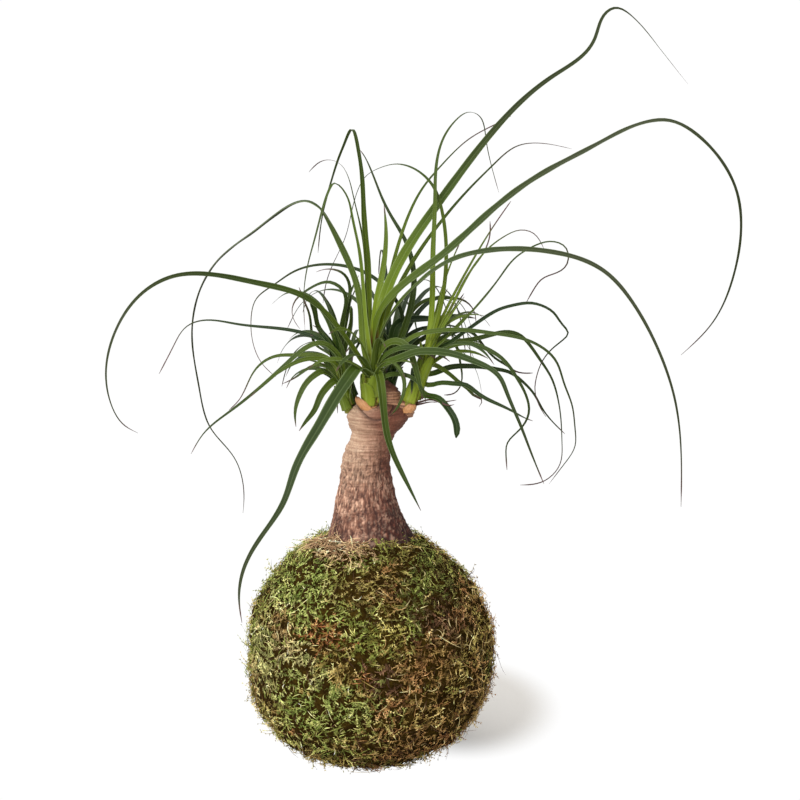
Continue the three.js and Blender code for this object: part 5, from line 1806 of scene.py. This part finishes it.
@dataclass
class MossBall:
    """The moss layer: a lumpy dark bed, feathery sprigs and tufts over it, and longer curling strands on
    top."""

    bed_finish: Material
    frond_finish: Material
    radius: float = 64.2
    centre: float = 59.5
    half_height: float = 62.2
    relief: float = 2.3
    thickness: float = 9.0
    sunk: float = 1.9
    cushion: float = 8.5
    dip: float = 2.0
    vigour: float = 2.6
    sheen_paling: float = 0.6
    opening: float = 0.325
    bed_rows: int = 84
    bed_columns: int = 160
    lining_rows: int = 14
    clumps: int = 3850
    sprigs: int = 3
    pairs: int = 4
    leaflet: float = 1.6
    leaflet_width: float = 0.39
    leaflet_faces: tuple[tuple[int, int, int], ...] = ((0, 1, 2), (0, 3, 1), (1, 3, 2), (2, 3, 0))
    tufts: int = 1220
    strands: int = 5
    trails: int = 2060
    pale_trails: float = 0.34
    dark_trails: float = 0.4
    wisps: int = 240
    wisp_turns: Pair = (-185, -98)
    short_profile: tuple[float, ...] = (0.75, 1.1, 0.9)
    long_profile: tuple[float, ...] = (0.6, 0.9, 1.0, 0.95, 0.8, 0.5)
    quarters: tuple[str, ...] = ("front", "right", "back", "left")
    seed: int = 5
    random: Random = field(init=False)
    patches: tuple[Patch, ...] = (
        Patch(-34, 82, 26, 22, Tint.BRIGHT, 0.7),
        Patch(-48, 66, 16, 18, Tint.BRIGHT, 0.5),
        Patch(-20, 96, 22, 12, Tint.BRIGHT, 0.5),
        Patch(34, 98, 26, 16, Tint.PINE, 0.65),
        Patch(30, 80, 24, 14, Tint.PINE, 0.5),
        Patch(50, 60, 18, 22, Tint.DUSK, 0.28),
        Patch(9, 63, 7, 9, Tint.GOLD, 0.8),
        Patch(54, 62, 6, 10, Tint.GOLD, 0.6),
        Patch(-47, 64, 7, 10, Tint.TAN, 0.8),
        # pale straw patches on the left: partly pale moss, partly painted highlight on the lit side
        Patch(-38, 50, 9, 8, Tint.STRAW_AND_SHEEN, 0.4),
        Patch(-54, 50, 12, 22, Tint.STRAW_AND_SHEEN, 0.22),
        Patch(-23, 60, 6, 6, Tint.RUST, 0.95),
        Patch(6, 36, 10, 8, Tint.DUSK, 0.95),
        Patch(-4, 38, 4, 6, Tint.RUST, 0.85),
        Patch(34, 66, 10, 9, Tint.DUSK, 0.85),
        Patch(2, 76, 24, 7, Tint.DUSK, 0.5),
        Patch(-6, 84, 18, 8, Tint.TAN, 0.4),
        Patch(46, 60, 8, 7, Tint.DUSK, 0.7),
        Patch(50, 72, 8, 6, Tint.TAN, 0.5),
        Patch(22, 50, 18, 12, Tint.PINE, 0.5),
        Patch(30, 44, 14, 14, Tint.TAN, 0.45),
        Patch(-26, 28, 20, 14, Tint.BRIGHT, 0.75),
        Patch(-22, 16, 28, 18, Tint.BRIGHT, 0.6),
        Patch(50, 34, 12, 24, Tint.OLIVE, 0.4),
        Patch(34, 8, 22, 10, Tint.TAN, 0.55),
        # pale straw patch on the left: partly pale moss, partly painted highlight on the lit side
        Patch(-30, 36, 6, 5, Tint.STRAW_AND_SHEEN, 0.4),
        Patch(-15, 107, 16, 7, Tint.DRY, 0.95),
    )

    def __post_init__(self) -> None:
        """Starts the moss's draws."""
        self.random = np.random.default_rng(self.seed)

    def swell(self, direction: Array) -> Array:
        """How far the moss stands out of a plain ball, by the rule of the part's source.

        Args:
            direction: Unit directions, one to a row.

        Returns:
            A height for each direction.
        """
        x, y, z = direction.T
        broad = np.sin(4.1 * x + 1.3) * np.cos(3.7 * y - 0.6) + np.sin(4.6 * z + 2.2 * x)
        middle = np.sin(9.3 * x - 2.1 * y + 0.4) * np.sin(8.2 * z + 1.7) + np.cos(8.8 * y + 3.1 * z)
        fine = np.sin(17 * x + 5 * z) * np.cos(15 * y - 7 * z + 0.9)
        sag = 4.0 * np.exp(-(((z + 0.6) / 0.35) ** 2))
        return self.relief * (0.3 * broad + 0.25 * middle + 0.25 * fine) + sag

    def cushions(self, points: Array) -> Array:
        """Where each point lies on the moss's small cushions: 1 on their tops, 0 in the seams between
        them."""
        warp = noise_vectors(points / 6, 101)
        return smoothstep(cracks(points / self.cushion + 0.5 * warp, 97), 0.02, 0.5)

    def surface(self, direction: Array, inset: float | Array = 0.0) -> Array:
        """Points of the moss surface in each direction from the ball's centre.

        Args:
            direction: Unit directions, one to a row.
            inset: How far below the surface.

        Returns:
            The points.
        """
        swell = self.swell(direction) - inset
        wide, high = self.radius + swell, self.half_height + swell
        points = direction * np.stack([wide, wide, high], axis=-1)
        points[:, 2] = np.maximum(points[:, 2] + self.centre, np.minimum(inset, 0.4))
        return points

    def tints(self, points: Array) -> Array:
        """A tint for each spot of the moss: green above, olive and brown below, with the seen patches over
        it.

        Args:
            points: Spots on the ball.

        Returns:
            A linear colour for each spot.
        """
        def over(base: Array, tint: Tint, share: Array) -> Array:
            """The colours with a share of a tint laid over them."""
            return base * (1 - share[:, None]) + tint.colour * share[:, None]

        count = len(points)
        cloud = smooth_noise(points / 17, 91) + 0.5 * smooth_noise(points / 7, 92)
        dry = smooth_noise(points / 12, 93) + 0.6 * smooth_noise(points / 5, 94)
        dry = dry + self.random.normal(0, 0.35, count)
        level = smoothstep(points[:, 2], 20, 105)
        lean = 0.5 * points[:, 0] / self.radius
        green = smoothstep(cloud + 0.9 * level - lean + self.random.normal(0, 0.4, count), -0.3, 1.3)
        base = over(np.tile(Tint.OLIVE.colour, (count, 1)), Tint.LEAFY, green)
        base = over(base, Tint.TAN, 0.9 * smoothstep(dry - 0.4 * level + 1.2 * lean, -0.2, 0.9))
        ragged = 0.45 * smooth_noise(points / 5, 95)
        for patch in self.patches:
            x, y, z = (points - self.patch_spot(patch)).T
            apart = np.stack([x / patch.half_wide, z / patch.half_high, np.maximum(y - 14, 0) / 8], axis=-1)
            reach = np.linalg.norm(apart, axis=1) + ragged + self.random.normal(0, 0.26, count)
            base = over(base, patch.tint, patch.hold * (1 - smoothstep(reach, 0.7, 1.15)))
        return base

    def patch_spot(self, patch: Patch) -> Array:
        """Where on the ball the viewer sees the middle of a patch.

        Args:
            patch: The patch.

        Returns:
            The place.
        """
        start = VIEWER.eye
        sight = unit(VIEWER.seen(patch.across, patch.up, 0.0) - start)
        offset = start - np.array([0.0, 0.0, self.centre])
        middle = offset @ sight
        inside = middle**2 - offset @ offset + self.radius**2
        return start + sight * (-middle - math.sqrt(max(inside, 0.0)))

    def build(self) -> None:
        """Makes the bed, the sprigs, the tufts and the trails."""
        self.build_bed()
        self.build_sprigs()
        self.build_tufts()
        self.build_trails()

    def build_bed(self) -> None:
        """Makes the dark bed, a thick shell with an opening for the trunk."""
        stock = MeshStock()
        turns = TAU * np.arange(self.bed_columns) / self.bed_columns
        polar = math.pi - (math.pi - self.opening) * (np.arange(self.bed_rows) + 0.5) / self.bed_rows
        outer = self.directions(polar[:, None], turns).reshape(-1, 3)
        skin = self.surface(outer, self.sunk)
        bumps = 0.6 * smooth_noise(skin / 2.2, 81) + 0.4 * smooth_noise(skin / 1.1, 82)
        skin = skin + outer * (bumps - self.dip * (1 - self.cushions(skin)))[:, None]
        skin[:, 2] = np.maximum(skin[:, 2], 0.0)
        polar = self.opening + 0.02 + (math.pi - self.opening - 0.03) * np.linspace(0, 1, self.lining_rows)
        inner = self.directions(polar[:, None], turns).reshape(-1, 3)
        width, height = self.radius - self.thickness, self.half_height - self.thickness
        lining = inner * np.array([width, width, height])
        lining[:, 2] = np.maximum(lining[:, 2] + self.centre, self.thickness)
        rings = np.concatenate([skin, lining]).reshape(-1, self.bed_columns, 3)
        stock.skin(rings)
        stock.piece("moss_bed", self.bed_finish, "moss", "moss_layer")

    @staticmethod
    def directions(polar: Array, turns: Array) -> Array:
        """Unit directions by their angles from the top and their turns."""
        flat = np.sin(polar)
        return np.stack([flat * np.cos(turns), flat * np.sin(turns), np.cos(polar) + 0 * turns], axis=-1)

    def scattered(self, count: int) -> Array:
        """Even but jittered directions over the ball, clear of the opening and of the foot.

        Args:
            count: How many there are.

        Returns:
            The directions.
        """
        index = np.arange(count) + 0.5
        height = 1 - 2 * index / count + self.random.normal(0, 0.6 / math.sqrt(count), count)
        height = np.clip(height, -0.985, math.cos(self.opening) + 0.004)
        turn = index * math.pi * (1 + math.sqrt(5)) + self.random.normal(0, 1.2 / math.sqrt(count), count)
        flat = np.sqrt(1 - height**2)
        return np.stack([flat * np.cos(turn), flat * np.sin(turn), height], axis=-1)

    def combed(self, direction: Array, spread: float) -> ArrayPair:
        """Two level directions on the surface: the way the moss is combed, and the one across it.

        Args:
            direction: Where on the ball.
            spread: How far it strays, in radians.

        Returns:
            The two directions for each spot.
        """
        level = unit(np.cross([0.02, 0.03, 1.0], direction))
        angle = TAU * smooth_noise(direction * 2.6, 85) + self.random.normal(0, spread, len(direction))
        comb = turned(level, np.cross(direction, level), angle)
        return comb, np.cross(direction, comb)

    def clumped(self, spots: Array, owner: Array, fan: float, shift: float, back: float) -> ArrayPair:
        """How the strands of each clump stand: fanned out round the way that the clump is combed.

        Args:
            spots: Where the clumps stand.
            owner: Which clump each strand belongs to.
            fan: How far the strands fan out, in radians.
            shift: How far their roots lie apart.
            back: How far their roots lie behind the clump's middle.

        Returns:
            The level way that each strand leans, and the direction of its root.
        """
        comb, cross = (way[owner] for way in self.combed(spots, 0.9))
        way = turned(comb, cross, self.random.normal(0, fan, len(owner)))
        aside = self.random.normal(0, shift, (len(owner), 2)) - np.array([back, 0.0])
        return way, unit(spots[owner] + (comb * aside[:, :1] + cross * aside[:, 1:]) / self.radius)

    def build_sprigs(self) -> None:
        """Makes the feathery sprigs, in clumps that share a tint and a lean. """
        spots = self.scattered(self.clumps)
        skin = self.surface(spots)
        rise = self.cushions(skin)
        # painted shade: clumps in the seams between the cushions are darkened, over a random tone
        tone_and_seam_shade = np.exp(self.random.normal(0, 0.2, self.clumps)) * (0.5 + 0.64 * rise)
        tints = self.tints(skin) * tone_and_seam_shade[:, None]
        owner = np.repeat(np.arange(self.clumps), self.sprigs)
        count = len(owner)
        way, root = self.clumped(spots, owner, 0.9, 1.7, 2.0)
        lift = np.clip(self.random.normal(0.44, 0.26, count), 0.0, 1.0)
        growth = np.exp(0.4 * smooth_noise(skin / 8, 87))
        length = self.random.gamma(9.0, 0.6, count) * growth[owner]
        length = length * np.where(self.random.random(count) < 0.05, 1.5, 1.0)
        inset = self.sunk + 0.3 + self.dip * (1 - rise[owner]) + self.random.uniform(-0.7, 0.6, count)
        curl = self.random.normal(-0.9, 0.5, count)
        self.build_strands(Strands("moss_sprigs", self.surface(root, inset), root, way, lift, curl, length,
                                   tints[owner], 3, 0.5, self.pairs))

    def build_tufts(self) -> None:
        """Makes the short strands, in tufts that share a tint and a lean. """
        spots = self.scattered(self.tufts)
        skin = self.surface(spots)
        tints = self.tints(skin)
        rise = self.cushions(skin)
        # painted shade: tufts in the seams between the cushions are darkened, over a random tone
        tints = tints * (np.exp(self.random.normal(0, 0.28, self.tufts)) * (0.5 + 0.7 * rise))[:, None]
        owner = np.repeat(np.arange(self.tufts), self.strands)
        count = len(owner)
        way, root = self.clumped(spots, owner, 0.85, 1.15, 0.0)
        lift = np.clip(self.random.normal(0.38, 0.26, count), -0.05, 0.9)
        length = self.random.gamma(7.0, 0.44, count) * (1.0 + 0.3 * (spots[owner, 2] < 0.2))
        inset = self.sunk + 0.2 + self.dip * (1 - rise[owner]) + self.random.uniform(-0.7, 0.5, count)
        curl = self.random.normal(-0.75, 0.7, count)
        self.build_strands(Strands("moss_tufts", self.surface(root, inset), root, way, lift, curl, length,
                                   tints[owner], 3, 0.8))

    def build_trails(self) -> None:
        """Makes the longer curling strands, longest low on the right, and the dry ones at the trunk's foot."""
        spots = self.scattered(self.trails)
        polar = self.opening + self.random.uniform(0.005, 0.2, self.wisps)
        turn = np.radians(self.random.uniform(*self.wisp_turns, self.wisps))
        spots = np.concatenate([spots, self.directions(polar, turn)])
        count, straight = len(spots), np.arange(len(spots)) >= self.trails
        lushness = 1 + 0.35 * smoothstep(spots[:, 0] - spots[:, 2], -0.4, 0.9)
        length = self.random.gamma(5.0, 1.1, count) * lushness
        length = np.where(straight, self.random.gamma(9.0, 1.1, count), length)
        comb, _ = self.combed(spots, 1.2)
        roots = self.surface(spots, self.sunk - 0.9)
        tints = self.tints(roots)
        pale = self.random.random(count) < self.pale_trails
        dark = self.random.random(count) < self.dark_trails
        # pale trails: partly pale dry strands, partly painted highlight
        tints = np.where(pale[:, None], 0.4 * tints + 0.6 * Tint.STRAW_AND_SHEEN.colour, tints)
        tints = np.where(dark[:, None], 0.35 * Tint.DUSK.colour, tints)
        tints = np.where(straight[:, None], 0.62 * Tint.DRY.colour, tints)
        tints = tints * np.exp(self.random.normal(0, 0.2, count))[:, None]
        lift = np.clip(self.random.normal(0.14, 0.14, count), 0.0, 0.45)
        curl = self.random.normal(-0.6, 0.5, count) * np.where(straight, 0.5, 1.0)
        self.build_strands(Strands("moss_trails", roots, spots, comb, lift, curl, length, tints, 6, 0.55))

    def build_strands(self, strands: Strands) -> None:
        """Makes strands as closed three-sided tapers, split into pieces by the quarter that they stand in.

        Args:
            strands: The strands.
        """
        count, joints = len(strands.roots), strands.joints
        short = joints == len(self.short_profile)
        width = self.random.uniform(0.2, 0.36, count) * strands.stoutness
        sway = self.random.normal(0, 0.8, count) * (1.0 if short else 2.0)
        line = self.grown_lines(strands, sway)
        along = unit(np.gradient(line, axis=1))
        broad = unit(np.cross(along, strands.normal[:, None]))
        thick = np.cross(broad, along)
        half = width[:, None] * np.array(self.short_profile if short else self.long_profile)
        corners = broad[:, :-1, None] * np.array([-1.0, 1.0, 0.0])[:, None]
        corners = corners + thick[:, :-1, None] * np.array([-0.3, -0.3, 0.6])[:, None]
        ring = line[:, :-1, None] + half[..., None, None] * corners
        shapes = np.concatenate([ring.reshape(count, -1, 3), line[:, -1:]], axis=1)
        tip = 3 * joints
        # dark at the root, partly old litter and partly painted shade, to the tint at the tip
        fresh = np.append(np.repeat(np.linspace(0.0, 0.9, joints), 3), 1.0)
        faces = [*ring_faces(joints, 3, last_cap=False),
                 np.array([[tip - 3, tip - 2, tip], [tip - 2, tip - 1, tip], [tip - 1, tip - 3, tip]])]
        if strands.pairs:
            shares = (np.arange(strands.pairs) + 0.9) / (strands.pairs + 0.15)
            shapes = np.concatenate([shapes, self.leaflets((line, along, broad, thick), shares)], axis=1)
            leaflet = np.stack([shares * 0.8] * 3 + [0.3 + 0.85 * shares], axis=1)
            fresh = np.append(fresh, np.tile(leaflet.ravel(), 2))
            first = tip + 1 + 4 * np.arange(2 * strands.pairs)
            faces.append((np.array(self.leaflet_faces)[None] + first[:, None, None]).reshape(-1, 3))
        shapes[..., 2] = np.maximum(shapes[..., 2], 0.02)
        colour = self.strand_colours(strands.tints, fresh)
        turn = np.arctan2(strands.normal[:, 1], strands.normal[:, 0]) / TAU
        quarter = np.floor(((turn + 0.875) % 1.0) * len(self.quarters)).astype(int)
        for index, label in enumerate(self.quarters):
            chosen = np.flatnonzero(quarter == index)
            offset = (np.arange(len(chosen)) * shapes.shape[1])[:, None, None]
            stock = MeshStock()
            stock.add(shapes[chosen], [(batch[None] + offset).reshape(-1, batch.shape[1]) for batch in faces],
                      tint=colour[chosen])
            stock.piece(f"{strands.name}_{label}", self.frond_finish, "moss", "moss_layer")

    @staticmethod
    def grown_lines(strands: Strands, sway: Array) -> Array:
        """The middle line of each strand, grown joint by joint.

        Args:
            strands: The strands.
            sway: How far each turns sideways as it grows, in radians.

        Returns:
            The points of each line.
        """
        side = np.cross(strands.normal, strands.way)
        points = [strands.roots]
        for joint in range(strands.joints):
            share = (joint + 0.5) / strands.joints
            level = turned(strands.way, side, sway * share)
            heading = turned(level, strands.normal, strands.lift + strands.curl * share)
            points.append(points[-1] + heading * (strands.length / strands.joints)[:, None])
        return np.stack(points, axis=1)

    def strand_colours(self, tints: Array, fresh: Array) -> Array:
        """Colours along each strand: litter-brown and painted shade at its root, its own tint at its tip, and
        a painted sheen of pale straw where it is bright.

        Args:
            tints: Each strand's tint.
            fresh: How far each of its points is from the dark root, old litter and painted shade, to its
                tint.

        Returns:
            A colour for each point of each strand.
        """
        fresh = fresh[None, :, None]
        vivid = np.exp(self.random.normal(0.14, 0.36, len(tints)))[:, None, None]
        colour = Tint.LITTER_AND_SHADE.colour * (1 - fresh) + self.vigour * tints[:, None] * vivid * fresh
        # painted sheen: bright colours are paled towards straw
        light = colour.mean(axis=-1, keepdims=True)
        straw_sheen = Tint.STRAW_AND_SHEEN.colour
        sheen_share = self.sheen_paling * smoothstep(light, 0.08, 0.6)
        return np.clip(colour * (1 - sheen_share) + straw_sheen * (light / straw_sheen.mean()) * sheen_share, 0, 1)

    def leaflets(self, axes: tuple[Array, Array, Array, Array], shares: Array) -> Array:
        """The small pointed leaflets on both sides of each strand, four corners to a leaflet.

        Args:
            axes: The strands' middle lines, the way along them, the way across them and the way out of them.
            shares: Where along a strand the leaflets stand.

        Returns:
            The corners of each strand's leaflets.
        """
        last = axes[0].shape[1] - 1
        low = np.minimum((shares * last).astype(int), last - 1)
        part = (shares * last - low)[None, :, None]
        spot, ahead, out, over = (way[:, low] * (1 - part) + way[:, low + 1] * part for way in axes)
        size = (len(spot), len(shares), 1)
        sides = []
        for sign in (-1.0, 1.0):
            spread, rise = self.random.normal(0.85, 0.22, size), self.random.normal(0.2, 0.3, size)
            reach = self.leaflet * (1.1 - 0.6 * shares)[None, :, None]
            reach = reach * np.exp(self.random.normal(0, 0.25, size))
            tip = spot + (ahead * np.cos(spread) + out * (sign * np.sin(spread)) + over * rise) * reach
            base = sign * self.leaflet_width * ahead
            ridge = spot + 0.8 * self.leaflet_width * over
            sides.append(np.stack([spot + base, spot - base, ridge, tip], axis=2))
        return np.concatenate(sides, axis=1).reshape(len(spot), -1, 3)


# Studio

@dataclass
class Studio:
    """Plain pale surface, soft light from the upper left, and the camera at the viewer's eye."""

    lens: float = 85.5
    sensor: float = 36.0
    clip: Pair = (0.05, 60.0)
    floor_radius: float = 5.0
    floor_rings: int = 24
    floor_sides: int = 96
    backdrop: float = 1.02
    bright_side: float = 2.2
    dim_side: float = 0.06
    bright_way: Triple = (-0.68, -0.42, 0.6)
    bright_span: Pair = (-0.8, 0.9)
    key_place: Triple = (-0.65, -1.25, 0.9)
    key_target: Triple = (0.0, 0.0, 0.12)
    key_size: float = 0.8
    key_power: float = 20.0

    def build(self, floor_finish: Material) -> None:
        """Makes the floor, the light and the camera.

        Args:
            floor_finish: The floor's material.
        """
        self.build_floor(floor_finish)
        self.build_surroundings()
        self.build_key()
        self.build_camera()

    @staticmethod
    def stand(name: str, data: bpy.types.ID, place: Triple, turns: Triple) -> bpy.types.Object:
        """Puts an object in the scene.

        Args:
            name: Its name.
            data: What it shows.
            place: Where it stands, in metres.
            turns: How it is turned, in radians.

        Returns:
            The object.
        """
        thing = bpy.data.objects.new(name, data)
        thing.location, thing.rotation_euler = place, turns
        bpy.context.scene.collection.objects.link(thing)
        return thing

    def build_floor(self, finish: Material) -> None:
        """Makes the floor, a wide disc just under the ball.

        Args:
            finish: Its material.
        """
        mesh = bpy.data.meshes.new("surface")
        rings, sides = self.floor_rings, self.floor_sides
        turns = TAU * np.arange(sides) / sides
        radii = (self.floor_radius * (np.arange(1, rings + 1) / rings) ** 2)[:, None]
        points = np.stack([radii * np.cos(turns), radii * np.sin(turns), 0 * radii * turns], axis=-1)
        faces = [face.tolist() for batch in ring_faces(rings, sides, last_cap=False) for face in batch]
        mesh.from_pydata(points.reshape(-1, 3).tolist(), [], faces)
        mesh.materials.append(finish)
        mesh.flip_normals()
        self.stand("surface", mesh, (0.0, 0.0, 0.0), (0.0, 0.0, 0.0))

    def build_surroundings(self) -> None:
        """Makes the white surroundings: brighter at the upper left, and plain where the camera sees them."""
        world = bpy.data.worlds.new("white room")
        world.use_nodes = True
        sheet = Sheet(world.node_tree)
        way = sheet.node("TexCoord").outputs["Generated"]
        facing = sheet.node("VectorMath", {0: way, 1: self.bright_way}, operation="DOT_PRODUCT")
        share = sheet.rise(facing.outputs["Value"], *self.bright_span)
        lit = sheet.times(share, self.bright_side - self.dim_side, self.dim_side)
        seen = sheet.node("LightPath").outputs["Is Camera Ray"]
        strength = sheet.times(sheet.maths("SUBTRACT", 1.0, seen), lit, sheet.times(seen, self.backdrop))
        sheet.feed(world.node_tree.nodes["Background"], {"Color": WHITE, "Strength": strength})
        bpy.context.scene.world = world

    def build_key(self) -> None:
        """Makes the soft key light."""
        lamp = bpy.data.lights.new("soft key", "AREA")
        lamp.shape, lamp.size, lamp.energy = "DISK", self.key_size, self.key_power
        x, y, z = np.array(self.key_target) - np.array(self.key_place)
        turns = (math.atan2(math.hypot(x, y), -z), 0.0, math.atan2(-x, y))
        self.stand("soft key", lamp, self.key_place, turns)

    def build_camera(self) -> None:
        """Makes the camera at the viewer's eye."""
        camera = bpy.data.cameras.new("viewer")
        camera.sensor_width, camera.sensor_fit, camera.lens = self.sensor, "HORIZONTAL", self.lens
        camera.clip_start, camera.clip_end = self.clip
        turns = (math.pi / 2 - VIEWER.tilt, 0.0, 0.0)
        bpy.context.scene.camera = self.stand("viewer", camera, tuple(VIEWER.eye * MM), turns)
        bpy.context.scene.view_settings.view_transform = "Standard"


def dress_soil(finish: Material) -> None:
    """Gives the packed soil ball its finish.

    Args:
        finish: The soil's material.
    """
    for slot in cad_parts["soil_ball"].material_slots:
        slot.material = finish
    LOG.info("soil_ball: kept as packed, with its own finish")


def main() -> None:
    """Builds every piece in order."""
    logging.basicConfig(level=logging.INFO, format="%(name)s: %(message)s")
    effects = SharedEffects()
    leaf = LeafFinish().make(effects)
    leaves = LeafLayout().settled()
    for number, shoot in enumerate(Shoot):
        LeafyShoot(shoot, [entry for entry in leaves if entry[0].shoot is shoot], leaf, 100 + number).build()
    Trunk(BarkFinish().make(effects)).build()
    PaperySheaths(SheathFinish().make(effects)).build()
    MossBall(BedFinish().make(effects), FrondFinish().make(effects)).build()
    dress_soil(SoilFinish().make(effects))
    Studio().build(FloorFinish().make(effects))


if __name__ == "__main__":
    main()
